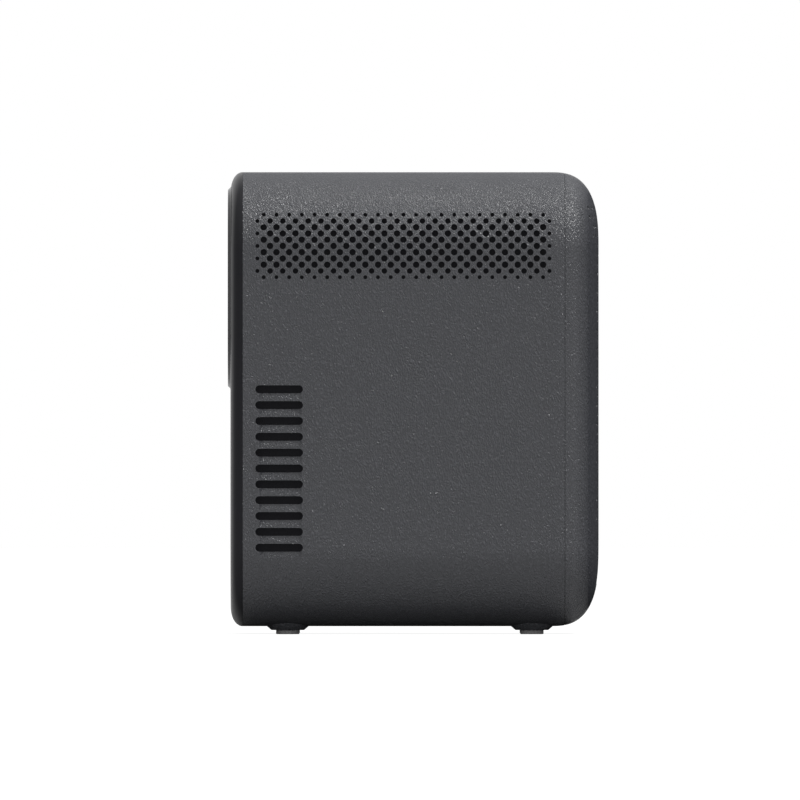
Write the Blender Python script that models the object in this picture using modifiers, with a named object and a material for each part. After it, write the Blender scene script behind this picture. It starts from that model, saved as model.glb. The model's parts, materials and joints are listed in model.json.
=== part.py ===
# Compact upright video projector, modelled as the separate pieces it is built from.
# Metres, +Z up. The lens looks along -Y, and the origin is on the table under the middle.
import math

import bmesh
import bpy
from mathutils import Matrix, Vector

# Overall size
BODY_WIDTH = 0.120
BODY_DEPTH = 0.150
BODY_HEIGHT = 0.1838
STANCE = 0.0032
CORNER_RADIUS = 0.032
WALL = 0.0024
COVER_DEPTH = 0.005
CAP_DEPTH = 0.0138
BEZEL_PROUD = 0.0011

# Fits shared by all pieces
SEAT_GAP = 0.0003
SEAM_GAP = 0.0003
CUT_OVERRUN = 0.002
LIP_REACH = 0.003
LIP_WALL = 0.0016

# Facets
CORNER_SEGMENTS = 5
ROUND_SIDES = 24
SMALL_SIDES = 12
TINY_SIDES = 8
DOME_STEPS = 3
EDGE_SEGMENTS = 3
GRILLE_SIDES = 4

# Planes that follow from the overall size
BASE_Z = STANCE
TOP_Z = STANCE + BODY_HEIGHT
MID_Z = (BASE_Z + TOP_Z) / 2
BEZEL_FACE_Y = -BODY_DEPTH / 2
COVER_FACE_Y = BEZEL_FACE_Y + BEZEL_PROUD
SHELL_FRONT_Y = COVER_FACE_Y + COVER_DEPTH
REAR_FACE_Y = BODY_DEPTH / 2
SHELL_REAR_Y = REAR_FACE_Y - CAP_DEPTH
INNER_SIDE_X = BODY_WIDTH / 2 - WALL
INNER_BASE_Z = BASE_Z + WALL
INNER_TOP_Z = TOP_Z - WALL

# Front cover
COVER_SKIN = 0.003
COVER_EDGE = 0.0076
COVER_EDGE_SEGMENTS = 4
COVER_FULLNESS = 2

# Raised bezel round the lens window
BEZEL_MARGIN = 0.00575
BEZEL_HEIGHT = 0.0823
BEZEL_RADIUS = 0.0235
BEZEL_RIM = 0.00125
BEZEL_THICKNESS = 0.0024
BEZEL_LEDGE = 0.003
BEZEL_WIDTH = BODY_WIDTH - 2 * BEZEL_MARGIN
LENS_Z = TOP_Z - BEZEL_MARGIN - BEZEL_HEIGHT / 2
BEZEL_BACK_Y = BEZEL_FACE_Y + BEZEL_THICKNESS

# Glass in front of the lens
WINDOW_RADIUS = 0.0267
WINDOW_THICKNESS = 0.0012
WINDOW_INSET = 0.0002
WINDOW_FRONT_Y = BEZEL_FACE_Y + WINDOW_INSET

# Small window of the focusing camera
CAMERA_RADIUS = 0.0036
CAMERA_THICKNESS = 0.0012
CAMERA_X = (WINDOW_RADIUS + SEAT_GAP + BEZEL_WIDTH / 2) / 2

# Hood ring behind the window
HOOD_FLANGE_RADIUS = 0.030
HOOD_FLANGE_THICKNESS = 0.0012
HOOD_FRONT_RADIUS = 0.0250
HOOD_REAR_RADIUS = 0.0233
HOOD_WALL = 0.0013
HOOD_LENGTH = 0.0125
HOOD_STEPS = 2
HOOD_FRONT_Y = COVER_FACE_Y + COVER_SKIN + SEAT_GAP
HOOD_REAR_Y = HOOD_FRONT_Y + HOOD_LENGTH

# Dot grille of the loudspeakers
GRILLE_ROWS = 11
GRILLE_ROW_PITCH = 0.0025245
GRILLE_HOLE_PITCH = 0.00513
GRILLE_END_MARGIN = 0.0057
GRILLE_FORWARD = 0.0003
GRILLE_SPAN = SHELL_REAR_Y - SHELL_FRONT_Y - 2 * GRILLE_END_MARGIN
GRILLE_WIDE_ROW_HOLES = 1 + math.floor(GRILLE_SPAN / GRILLE_HOLE_PITCH)
GRILLE_NARROW_ROW_HOLES = GRILLE_WIDE_ROW_HOLES - 1
GRILLE_MID_Y = (SHELL_FRONT_Y + SHELL_REAR_Y) / 2 - GRILLE_FORWARD
GRILLE_BELOW_TOP = 0.0299
GRILLE_HOLE_RADIUS = 0.0015
GRILLE_NEAR_EDGE_RADIUS = 0.0013
GRILLE_EDGE_RADIUS = 0.00095
GRILLE_MID_Z = TOP_Z - GRILLE_BELOW_TOP

# Air louvres low at the front of the right side
LOUVRE_COUNT = 11
LOUVRE_PITCH = 0.0064
LOUVRE_LENGTH = 0.0192
LOUVRE_HEIGHT = 0.0032
LOUVRE_SCOOP = 0.0020
LOUVRE_SCOOP_DEPTH = 0.0016
LOUVRE_FRONT_MARGIN = 0.0051
LOUVRE_RISE = 0.0319
LOUVRE_END_SEGMENTS = 2
LOUVRE_FRONT_Y = SHELL_FRONT_Y + LOUVRE_FRONT_MARGIN
LOUVRE_REAR_Y = LOUVRE_FRONT_Y + LOUVRE_LENGTH
LOUVRE_LOW_Z = BASE_Z + LOUVRE_RISE

# Rear cap, whose curve begins in the shell and is fuller than an ellipse
CAP_PILLOW_DEPTH = 0.0194
CAP_PILLOW_INSET = 0.030
CAP_FULLNESS = 2.7
CAP_STEPS = 6
SHELL_REAR_STEPS = 2
CAP_CURVE_Y = REAR_FACE_Y - CAP_PILLOW_DEPTH

# Feet and their bosses
FOOT_RADIUS = 0.00475
FOOT_HEIGHT = 0.00166
FOOT_SINK = 0.0010
FOOT_EDGE = 0.0004
FOOT_SIDE_SETBACK = 0.032
FOOT_FRONT_SETBACK = 0.0242
FOOT_REAR_SETBACK = 0.0270
FOOT_BOSS_WIDE = 0.00845
FOOT_BOSS_NARROW = 0.00665
FOOT_X = BODY_WIDTH / 2 - FOOT_SIDE_SETBACK
FOOT_FRONT_Y = BEZEL_FACE_Y + FOOT_FRONT_SETBACK
FOOT_REAR_Y = REAR_FACE_Y - FOOT_REAR_SETBACK
FOOT_PLACES = {
    "front_left": (-FOOT_X, FOOT_FRONT_Y),
    "front_right": (FOOT_X, FOOT_FRONT_Y),
    "rear_left": (-FOOT_X, FOOT_REAR_Y),
    "rear_right": (FOOT_X, FOOT_REAR_Y),
}

# Tripod nut
NUT_HOLE_RADIUS = 0.0032
NUT_RADIUS = 0.0050
NUT_LENGTH = 0.0065
NUT_BOSS_WALL = 0.0022
NUT_BOSS_RADIUS = NUT_RADIUS + SEAT_GAP + NUT_BOSS_WALL

# Power button on the top
BUTTON_SETBACK = 0.0339
BUTTON_Y = SHELL_FRONT_Y + BUTTON_SETBACK
BUTTON_RADIUS = 0.0067
BUTTON_GAP = 0.0003
BUTTON_SUNK = 0.0001
BUTTON_TRAVEL = 0.0008
BUTTON_FLANGE = 0.0015
BUTTON_FLANGE_THICKNESS = 0.0010
BUTTON_STEM_RADIUS = 0.0020
BUTTON_STEM = 0.0006
BUTTON_DISH = 0.0004
SWITCH_SLACK = 0.0001
SWITCH_SIZE = 0.0060
SWITCH_HEIGHT = 0.0030
SWITCH_CAP_RADIUS = 0.0016
SWITCH_CAP_HEIGHT = 0.0008
BUTTON_BOARD_WIDTH = 0.028
BUTTON_BOARD_LENGTH = 0.016
BOARD_THICKNESS = 0.0016
BUTTON_POST_RADIUS = 0.0022
BUTTON_POST_INSET = 0.0035
BUTTON_TOP_Z = TOP_Z - BUTTON_SUNK
BUTTON_FLANGE_TOP_Z = INNER_TOP_Z - SEAT_GAP
BUTTON_STEM_END_Z = BUTTON_FLANGE_TOP_Z - BUTTON_FLANGE_THICKNESS - BUTTON_STEM
SWITCH_TOP_Z = BUTTON_STEM_END_Z - BUTTON_TRAVEL - SWITCH_SLACK
BUTTON_BOARD_TOP_Z = SWITCH_TOP_Z - SWITCH_CAP_HEIGHT - SWITCH_HEIGHT

# Main board, upright at the rear
MAIN_BOARD_SIDE_CLEAR = 0.020
MAIN_BOARD_HEIGHT = 0.095
MAIN_BOARD_LIFT = 0.0015
MAIN_BOARD_SETBACK = 0.019
MAIN_BOARD_WIDTH = BODY_WIDTH - 2 * MAIN_BOARD_SIDE_CLEAR
MAIN_BOARD_FRONT_Y = REAR_FACE_Y - MAIN_BOARD_SETBACK
MAIN_BOARD_REAR_Y = MAIN_BOARD_FRONT_Y + BOARD_THICKNESS

# Base chassis inside the shell
CHASSIS_SIDE_CLEAR = 0.018
CHASSIS_THICKNESS = 0.002
CHASSIS_LIFT = 0.0074
CHASSIS_FRONT_INSET = 0.007
CHASSIS_RADIUS = 0.006
CHASSIS_TAB_INSET = 0.012
CHASSIS_TAB_HEIGHT = 0.018
CHASSIS_WIDTH = BODY_WIDTH - 2 * CHASSIS_SIDE_CLEAR
CHASSIS_TAB_WIDTH = CHASSIS_WIDTH - 2 * CHASSIS_TAB_INSET
CHASSIS_BOTTOM_Z = INNER_BASE_Z + CHASSIS_LIFT
CHASSIS_TOP_Z = CHASSIS_BOTTOM_Z + CHASSIS_THICKNESS
CHASSIS_FRONT_Y = SHELL_FRONT_Y + CHASSIS_FRONT_INSET
CHASSIS_REAR_Y = MAIN_BOARD_FRONT_Y - SEAT_GAP
MAIN_BOARD_BOTTOM_Z = CHASSIS_TOP_Z + MAIN_BOARD_LIFT

# Posts of the shell and the screws that hold the chassis on them
POST_RADIUS = 0.0038
POST_SIDE_INSET = 0.020
POST_FRONT_INSET = 0.0059
POST_REAR_INSET = 0.0057
SCREW_RADIUS = 0.0015
SCREW_HEAD_RADIUS = 0.0028
SCREW_HEAD_CHAMFER = 0.0006
SCREW_HEAD_HEIGHT = 0.0018
SCREW_LENGTH = 0.0060
POST_X = CHASSIS_WIDTH / 2 - POST_SIDE_INSET
SCREW_PLACES = [
    (side * POST_X, y)
    for side in (-1, 1)
    for y in (CHASSIS_FRONT_Y + POST_FRONT_INSET, CHASSIS_REAR_Y - POST_REAR_INSET)
]

# Loudspeakers
SPEAKER_DEPTH = 0.0145
SPEAKER_FRONT_SETBACK = 0.0239
SPEAKER_REAR_SETBACK = 0.0262
SPEAKER_HEIGHT = 0.030
SPEAKER_EDGE = 0.003
DRIVER_RADIUS = 0.0125
DRIVER_DEPTH = 0.006
DRIVER_RIM = 0.0016
DRIVER_RIM_DEPTH = 0.0012
DRIVER_CONE_DEPTH = 0.0035
DRIVER_DOME_RADIUS = 0.004
DRIVER_RECESS = 0.0045
SPEAKER_OUTER_X = INNER_SIDE_X - SEAT_GAP
SPEAKER_INNER_X = SPEAKER_OUTER_X - SPEAKER_DEPTH
SPEAKER_FRONT_Y = SHELL_FRONT_Y + SPEAKER_FRONT_SETBACK
SPEAKER_REAR_Y = SHELL_REAR_Y - SPEAKER_REAR_SETBACK
SPEAKER_MID_Y = (SPEAKER_FRONT_Y + SPEAKER_REAR_Y) / 2

# Projection lens
MOUNT_FLANGE_THICKNESS = 0.003
MOUNT_FLANGE_BELOW = 0.038
MOUNT_FLANGE_ABOVE = 0.028
MOUNT_FLANGE_RADIUS = 0.005
MOUNT_LENGTH = 0.026
MOUNT_WALL = 0.0017
MOUNT_SHOULDER = 0.002
MOUNT_SHOULDER_THICKNESS = 0.0012
BARREL_RADIUS = 0.022
BARREL_WALL = 0.002
BARREL_LAND = 0.0016
BARREL_LENGTH = 0.040
BARREL_REACH = 0.020
BARREL_SETBACK = 0.0018
BARREL_SEAT_DEPTH = 0.008
LENS_RIM = 0.003
LENS_CROWN = 0.004
MOUNT_BORE = BARREL_RADIUS + SEAT_GAP
MOUNT_RADIUS = MOUNT_BORE + MOUNT_WALL
BARREL_FRONT_Y = HOOD_REAR_Y + BARREL_SETBACK
MOUNT_FRONT_Y = BARREL_FRONT_Y + BARREL_REACH
MOUNT_FLANGE_FRONT_Y = MOUNT_FRONT_Y + MOUNT_LENGTH
MOUNT_FLANGE_BACK_Y = MOUNT_FLANGE_FRONT_Y + MOUNT_FLANGE_THICKNESS

# Light engine, between the lens, the speakers and the main board
ENGINE_SIDE_CLEAR = 0.0048
ENGINE_REAR_CLEAR = 0.009
ENGINE_WALL = 0.002
ENGINE_LEG = 0.006
ENGINE_SPLIT_SHARE = 0.4325
ENGINE_WIDTH = 2 * (SPEAKER_INNER_X - ENGINE_SIDE_CLEAR)
ENGINE_FRONT_Y = MOUNT_FLANGE_BACK_Y + SEAT_GAP
ENGINE_REAR_Y = MAIN_BOARD_FRONT_Y - ENGINE_REAR_CLEAR
ENGINE_LENGTH = ENGINE_REAR_Y - ENGINE_FRONT_Y
ENGINE_Y = (ENGINE_FRONT_Y + ENGINE_REAR_Y) / 2

# Lamp under the light engine
PIPE_RADIUS = 0.003
SPREADER_SIDE_INSET = 0.016
SPREADER_LEG_CLEAR = 0.003
SPREADER_THICKNESS = 0.003
LED_BOARD_SIDE_INSET = 0.004
LED_BOARD_END_INSET = 0.003
LED_HEIGHT = 0.0013
SPREADER_WIDTH = ENGINE_WIDTH - 2 * SPREADER_SIDE_INSET
SPREADER_LENGTH = ENGINE_LENGTH - 2 * (ENGINE_LEG + SPREADER_LEG_CLEAR)
LED_BOARD_WIDTH = SPREADER_WIDTH - 2 * LED_BOARD_SIDE_INSET
LED_BOARD_LENGTH = SPREADER_LENGTH - 2 * LED_BOARD_END_INSET
PIPE_Z = CHASSIS_TOP_Z + SEAT_GAP + PIPE_RADIUS
SPREADER_BOTTOM_Z = PIPE_Z + PIPE_RADIUS + SEAT_GAP
LED_BOARD_BOTTOM_Z = SPREADER_BOTTOM_Z + SPREADER_THICKNESS + SEAT_GAP
LED_BOARD_TOP_Z = LED_BOARD_BOTTOM_Z + BOARD_THICKNESS
ENGINE_BOTTOM_Z = LED_BOARD_TOP_Z + SEAT_GAP
ENGINE_SPLIT_Z = ENGINE_BOTTOM_Z + ENGINE_SPLIT_SHARE * (LENS_Z - ENGINE_BOTTOM_Z)

# Condenser lens, and what takes its size from it
CONDENSER_CLEAR = 0.008
CONDENSER_RIM = 0.002
CONDENSER_CROWN_SHARE = 0.53
LED_OPENING_WIDTH_SHARE = 1.412
LED_OPENING_LENGTH_SHARE = 1.176
LED_WIDTH_SHARE = 0.824
LED_LENGTH_SHARE = 0.706
CONDENSER_RADIUS = ENGINE_LENGTH / 2 - ENGINE_WALL - CONDENSER_CLEAR
CONDENSER_CROWN = CONDENSER_CROWN_SHARE * CONDENSER_RADIUS
LED_OPENING_WIDTH = LED_OPENING_WIDTH_SHARE * CONDENSER_RADIUS
LED_OPENING_LENGTH = LED_OPENING_LENGTH_SHARE * CONDENSER_RADIUS
LED_WIDTH = LED_WIDTH_SHARE * CONDENSER_RADIUS
LED_LENGTH = LED_LENGTH_SHARE * CONDENSER_RADIUS

# Panels at the top of the light tunnel, and the mirror above them
FIELD_LENS_THICKNESS = 0.002
LCD_THICKNESS = 0.0016
PANEL_SPACING = 0.004
MIRROR_THICKNESS = 0.002
MIRROR_BOX_SHELF = 0.0058
MIRROR_END_CLEAR = 0.0008
MIRROR_ROOM_Y = ENGINE_LENGTH - 2 * (ENGINE_WALL + SEAT_GAP) - MIRROR_BOX_SHELF
MIRROR_LENGTH = MIRROR_ROOM_Y * math.sqrt(2) - 2 * MIRROR_END_CLEAR

# Focus gears
GEAR_MODULE = 0.0008
RING_TEETH = 72
RING_TOOTHED = 22
PINION_TEETH = 12
GEAR_ADDENDUM_SHARE = 0.8
GEAR_DEDENDUM_SHARE = 1.25
TOOTH_ROOT_SHARE = 0.46
TOOTH_TIP_SHARE = 0.20
RING_LENGTH = 0.007
PINION_LENGTH = 0.006
PINION_DIRECTION = math.radians(-60)
MOTOR_RADIUS = 0.0075
MOTOR_LENGTH = 0.012
MOTOR_SHAFT_RADIUS = 0.001
RING_PITCH_RADIUS = RING_TEETH * GEAR_MODULE / 2
PINION_PITCH_RADIUS = PINION_TEETH * GEAR_MODULE / 2
GEAR_DISTANCE = RING_PITCH_RADIUS + PINION_PITCH_RADIUS
RING_REAR_Y = MOUNT_FRONT_Y + MOUNT_SHOULDER_THICKNESS + RING_LENGTH
PINION_X = GEAR_DISTANCE * math.cos(PINION_DIRECTION)
PINION_Z = LENS_Z + GEAR_DISTANCE * math.sin(PINION_DIRECTION)

# Fin stack behind the louvres
FIN_STACK_WIDTH = 0.027
FIN_STACK_CLEAR = 0.0010
FIN_SKIN = 0.0008
FIN_COUNT = 16
FIN_THICKNESS = 0.0008
FIN_OUTER_X = INNER_SIDE_X - FIN_STACK_CLEAR
FIN_INNER_X = FIN_OUTER_X - FIN_STACK_WIDTH

# Blower behind the front cover, as large as its room under the lens and beside the fins
BLOWER_THICKNESS = 0.019
BLOWER_WALL = 0.0015
BLOWER_SIDE_CLEAR = 0.0066
BLOWER_OUTLET = 0.0066
BLOWER_LIFT = 0.0151
BLOWER_HOOD_CLEAR = 0.0097
BLOWER_LEG = 0.006
BLOWER_PIN_RADIUS = 0.002
BLOWER_PIN_LENGTH = 0.008
BLOWER_INLET_SHARE = 0.676
BLOWER_ROOM_X = FIN_INNER_X - BLOWER_OUTLET + INNER_SIDE_X - BLOWER_SIDE_CLEAR
BLOWER_LOW_Z = CHASSIS_TOP_Z + BLOWER_LIFT
BLOWER_ROOM_Z = LENS_Z - HOOD_FRONT_RADIUS - HOOD_WALL - BLOWER_HOOD_CLEAR - BLOWER_LOW_Z
BLOWER_RADIUS = min(BLOWER_ROOM_X, BLOWER_ROOM_Z) / 2
BLOWER_INLET_RADIUS = BLOWER_INLET_SHARE * BLOWER_RADIUS
BLOWER_X = FIN_INNER_X - BLOWER_OUTLET - BLOWER_RADIUS
BLOWER_Z = BLOWER_LOW_Z + BLOWER_RADIUS
BLOWER_FRONT_Y = LOUVRE_FRONT_Y
BLOWER_REAR_Y = BLOWER_FRONT_Y + BLOWER_THICKNESS
FIN_LOW_Z = BLOWER_Z - BLOWER_RADIUS
FIN_TOP_Z = BLOWER_Z + BLOWER_RADIUS

# Rotor of the blower
ROTOR_SHARE = 0.838
ROTOR_HUB_SHARE = 0.378
BLADE_LENGTH_SHARE = 0.23
ROTOR_DISC = 0.0012
ROTOR_GAP = 0.0008
ROTOR_BLADES = 21
BLADE_THICKNESS = 0.0009
BLADE_LEAN = math.radians(38)
ROTOR_RADIUS = ROTOR_SHARE * BLOWER_RADIUS
ROTOR_HUB_RADIUS = ROTOR_HUB_SHARE * BLOWER_RADIUS
BLADE_LENGTH = BLADE_LENGTH_SHARE * BLOWER_RADIUS

# Heat pipes
PIPE_SPACING = 0.010
PIPE_START_REACH = 0.014
PIPE_TURN_INSET = 0.003
PIPE_BEND = 0.008
PIPE_BEND_STEPS = 4
PIPE_TOP_MARGIN = 0.003
PIPE_START_Y = ENGINE_Y + PIPE_START_REACH
PIPE_TURN_Y = ENGINE_FRONT_Y + PIPE_TURN_INSET

# Cooler of the processor, on the rear of the main board
COOLER_WIDTH = 0.030
COOLER_HEIGHT = 0.030
COOLER_DEPTH = 0.008
COOLER_BASE = 0.002
COOLER_FINS = 8
COOLER_FIN = 0.0012
COOLER_SIDE = 0.012
COOLER_RISE = 0.060

# Socket panel low on the rear cap
PANEL_WIDTH = 0.068
PANEL_HEIGHT = 0.018
PANEL_RADIUS = 0.003
PANEL_THICKNESS = 0.0016
PANEL_RECESS = 0.0022
PANEL_RISE = 0.0263
PANEL_Z = BASE_Z + PANEL_RISE
PANEL_LEDGE = 0.002
PANEL_FRAME_SINK = 0.0018
PANEL_REAR_Y = REAR_FACE_Y - PANEL_RECESS
PANEL_FRONT_Y = PANEL_REAR_Y - PANEL_THICKNESS
SOCKET_WALL = 0.0007
SOCKET_FLOOR = 0.002
HDMI_X = -0.006
HDMI_OPENING_WIDTH = 0.0145
HDMI_OPENING_HEIGHT = 0.0050
USB_X = 0.014
USB_OPENING_WIDTH = 0.0130
USB_OPENING_HEIGHT = 0.0055
DC_X = -0.025
DC_BODY = 0.0100
DC_BORE_RADIUS = 0.0034
AUDIO_X = 0.028
AUDIO_BODY = 0.0070
AUDIO_BORE_RADIUS = 0.0019

# Dust filter behind the rear perforation
FILTER_SIDE_INSET = 0.022
FILTER_TOP_INSET = 0.021
FILTER_PANEL_CLEAR = 0.0075
FILTER_THICKNESS = 0.002
FILTER_CLEAR = 0.0009
FILTER_RADIUS = 0.004
FILTER_HALF_WIDTH = BODY_WIDTH / 2 - FILTER_SIDE_INSET
FILTER_LOW_Z = PANEL_Z + PANEL_HEIGHT / 2 + FILTER_PANEL_CLEAR
FILTER_TOP_Z = TOP_Z - FILTER_TOP_INSET

# Limits that tell one face or point of a mesh from the next
SAME_PLACE = 0.000001
MERGE_REACH = 0.00001
NEARLY_PARALLEL_SHARE = 0.9


def empty_the_scene():
    for thing in list(bpy.data.objects):
        bpy.data.objects.remove(thing, do_unlink=True)


def new_collection(name):
    collection = bpy.data.collections.new(name)
    bpy.context.scene.collection.children.link(collection)
    return collection


empty_the_scene()
parts = new_collection("projector")
cutters = new_collection("cutters")


def finish(name, colour, roughness, metallic=0.0):
    material = bpy.data.materials.new(name)
    material.use_nodes = True
    shader = material.node_tree.nodes["Principled BSDF"]
    shader.inputs["Base Color"].default_value = (*colour, 1.0)
    shader.inputs["Roughness"].default_value = roughness
    shader.inputs["Metallic"].default_value = metallic
    material.diffuse_color = (*colour, 1.0)
    return material


def finish_object(mesh, name, material, collection):
    obj = bpy.data.objects.new(name, mesh)
    collection.objects.link(obj)
    if material:
        mesh.materials.append(material)
    mesh.shade_smooth()
    mesh.set_sharp_from_angle(angle=math.radians(35))
    return obj


def piece(name, bm, material):
    mesh = bpy.data.meshes.new(name)
    bm.to_mesh(mesh)
    bm.free()
    return finish_object(mesh, name, material, parts)


def tool(name, bm):
    """A helper solid that cuts or joins, kept out of the model."""
    mesh = bpy.data.meshes.new(name)
    bm.to_mesh(mesh)
    bm.free()
    obj = finish_object(mesh, name, None, cutters)
    obj.hide_render = True
    obj.display_type = "WIRE"
    return obj


def combine(obj, bm, operation, label):
    modifier = obj.modifiers.new(label, "BOOLEAN")
    modifier.operation = operation
    modifier.object = tool(f"{obj.name}_{label}", bm)
    modifier.solver = "EXACT"


def cut(obj, bm, label):
    combine(obj, bm, "DIFFERENCE", label)


def join(obj, bm, label):
    combine(obj, bm, "UNION", label)


def trim(obj, bm, label):
    combine(obj, bm, "INTERSECT", label)


def block(bm, low, high, radius=0.0, axis=1, segments=CORNER_SEGMENTS):
    """A box between two corners, with the four edges along one axis rounded."""
    low, high = Vector(low), Vector(high)
    place = Matrix.Translation((low + high) / 2) @ Matrix.Diagonal((*(high - low), 1))
    made = bmesh.ops.create_cube(bm, size=1, matrix=place)["verts"]
    if radius:
        along = [
            edge
            for edge in {e for v in made for e in v.link_edges}
            if abs((edge.verts[0].co - edge.verts[1].co).normalized()[axis])
            > NEARLY_PARALLEL_SHARE
        ]
        bmesh.ops.bevel(
            bm, geom=along, offset=radius, segments=segments, profile=0.5, affect="EDGES"
        )
    return bm


TURNS = {
    0: Matrix.Rotation(math.radians(90), 4, "Y"),
    1: Matrix.Rotation(math.radians(-90), 4, "X"),
    2: Matrix.Identity(4),
}


def rod(bm, start, length, radius, axis=2, end_radius=None, sides=ROUND_SIDES):
    """A cylinder or cone that starts at a point and runs along +X, +Y or +Z."""
    middle = Vector(start)
    middle[axis] += length / 2
    bmesh.ops.create_cone(
        bm,
        cap_ends=True,
        segments=sides,
        radius1=radius,
        radius2=radius if end_radius is None else end_radius,
        depth=length,
        matrix=Matrix.Translation(middle) @ TURNS[axis],
    )
    return bm


def turned(name, profile, place, axis, material, sides=ROUND_SIDES):
    """A closed outline of (radius, height) points, turned about an axis through a place."""
    bm = bmesh.new()
    ring = [bm.verts.new((radius, 0, height)) for radius, height in profile]
    for first, second in zip(ring, ring[1:] + ring[:1]):
        if first.co.x or second.co.x:
            bm.edges.new((first, second))
    obj = piece(name, bm, material)
    screw = obj.modifiers.new("turn", "SCREW")
    screw.steps = screw.render_steps = sides
    screw.use_merge_vertices = True
    screw.merge_threshold = MERGE_REACH
    obj.matrix_world = Matrix.Translation(place) @ TURNS[axis]
    return obj


def body_outline(bm, inset, front_y, rear_y):
    """A slice of the body's rounded outline, drawn in by the inset."""
    half = BODY_WIDTH / 2 - inset
    low = (-half, front_y, BASE_Z + inset)
    high = (half, rear_y, TOP_Z - inset)
    return block(bm, low, high, CORNER_RADIUS - inset)


def faces_at(bm, axis, value):
    return [
        face for face in bm.faces if all(abs(v.co[axis] - value) < SAME_PLACE for v in face.verts)
    ]


def edges_at(bm, axis, value):
    return [
        edge for edge in bm.edges if all(abs(v.co[axis] - value) < SAME_PLACE for v in edge.verts)
    ]


def grille_holes():
    """Every dot of the grille as (y, z, radius): staggered rows that fade at the edges."""
    last_row = GRILLE_ROWS - 1
    for row in range(GRILLE_ROWS):
        wide = row % 2 == 1
        count = GRILLE_WIDE_ROW_HOLES if wide else GRILLE_NARROW_ROW_HOLES
        z = GRILLE_MID_Z + (last_row / 2 - row) * GRILLE_ROW_PITCH
        for column in range(count):
            y = GRILLE_MID_Y + (column - (count - 1) / 2) * GRILLE_HOLE_PITCH
            radius = GRILLE_HOLE_RADIUS
            if row in (1, last_row - 1):
                radius = GRILLE_NEAR_EDGE_RADIUS
            if row in (0, last_row) or (wide and column in (0, count - 1)):
                radius = GRILLE_EDGE_RADIUS
            yield y, z, radius


def inner_wall_x(z):
    """Where the shell's inner face is at a height, on its straight side or its round corner."""
    past = max(0.0, abs(z - MID_Z) - (BODY_HEIGHT / 2 - CORNER_RADIUS))
    inner_radius = CORNER_RADIUS - WALL
    return INNER_SIDE_X - inner_radius + math.sqrt(inner_radius**2 - past**2)


def louvre_heights():
    return [LOUVRE_LOW_Z + step * LOUVRE_PITCH for step in range(LOUVRE_COUNT)]


def shell_posts():
    """Bosses that stand on the floor of the shell or hang from its top."""
    bm = bmesh.new()
    for x, y in SCREW_PLACES:
        rod(bm, (x, y, INNER_BASE_Z - WALL / 2), WALL / 2 + CHASSIS_LIFT - SEAT_GAP,
            POST_RADIUS, sides=TINY_SIDES)
    rod(bm, (0, 0, BASE_Z + WALL / 2), WALL / 2 + NUT_LENGTH - SEAT_GAP, NUT_BOSS_RADIUS,
        sides=SMALL_SIDES)
    post_bottom = BUTTON_BOARD_TOP_Z + SEAT_GAP
    post_x = BUTTON_BOARD_WIDTH / 2 - BUTTON_POST_INSET
    for side in (-1, 1):
        rod(bm, (side * post_x, BUTTON_Y, post_bottom), INNER_TOP_Z + WALL / 2 - post_bottom,
            BUTTON_POST_RADIUS, sides=TINY_SIDES)
    return bm


def foot_bosses():
    bm = bmesh.new()
    for x, y in FOOT_PLACES.values():
        rod(bm, (x, y, FOOT_HEIGHT), STANCE - FOOT_HEIGHT + WALL / 2, FOOT_BOSS_NARROW,
            end_radius=FOOT_BOSS_WIDE, sides=SMALL_SIDES)
    return bm


def shell_bores():
    """Screw holes, foot pockets, the nut's bore and the button's hole."""
    bm = bmesh.new()
    for x, y in SCREW_PLACES:
        rod(bm, (x, y, INNER_BASE_Z + SEAT_GAP), CHASSIS_LIFT + CUT_OVERRUN,
            SCREW_RADIUS + SEAT_GAP, sides=TINY_SIDES)
    for x, y in FOOT_PLACES.values():
        rod(bm, (x, y, -CUT_OVERRUN), CUT_OVERRUN + FOOT_HEIGHT + FOOT_SINK,
            FOOT_RADIUS + SEAT_GAP, sides=SMALL_SIDES)
    rod(bm, (0, 0, BASE_Z - CUT_OVERRUN), NUT_LENGTH + WALL + 2 * CUT_OVERRUN,
        NUT_RADIUS + SEAT_GAP, sides=SMALL_SIDES)
    rod(bm, (0, BUTTON_Y, INNER_TOP_Z - CUT_OVERRUN), WALL + 2 * CUT_OVERRUN,
        BUTTON_RADIUS + BUTTON_GAP)
    return bm


def rounding(pull, depth, fullness, start, end, steps):
    """The (inset, depth) places of a soft edge, between two depths of its curve."""
    first = math.asin((start / depth) ** (fullness / 2))
    last = math.asin((end / depth) ** (fullness / 2))
    for step in range(steps + 1):
        turn = first + (last - first) * step / steps
        across = max(0.0, math.cos(turn)) ** (2 / fullness)
        yield pull * (1 - across), depth * math.sin(turn) ** (2 / fullness)


def draw_in(bm, face, places):
    """Pulls a face forwards and inwards through a soft edge, whose first place it is at."""
    places = list(places)
    for (inset, depth), (next_inset, next_depth) in zip(places, places[1:]):
        bmesh.ops.inset_region(
            bm, faces=[face], thickness=next_inset - inset, depth=next_depth - depth,
            use_even_offset=True,
        )
    return bm


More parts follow.
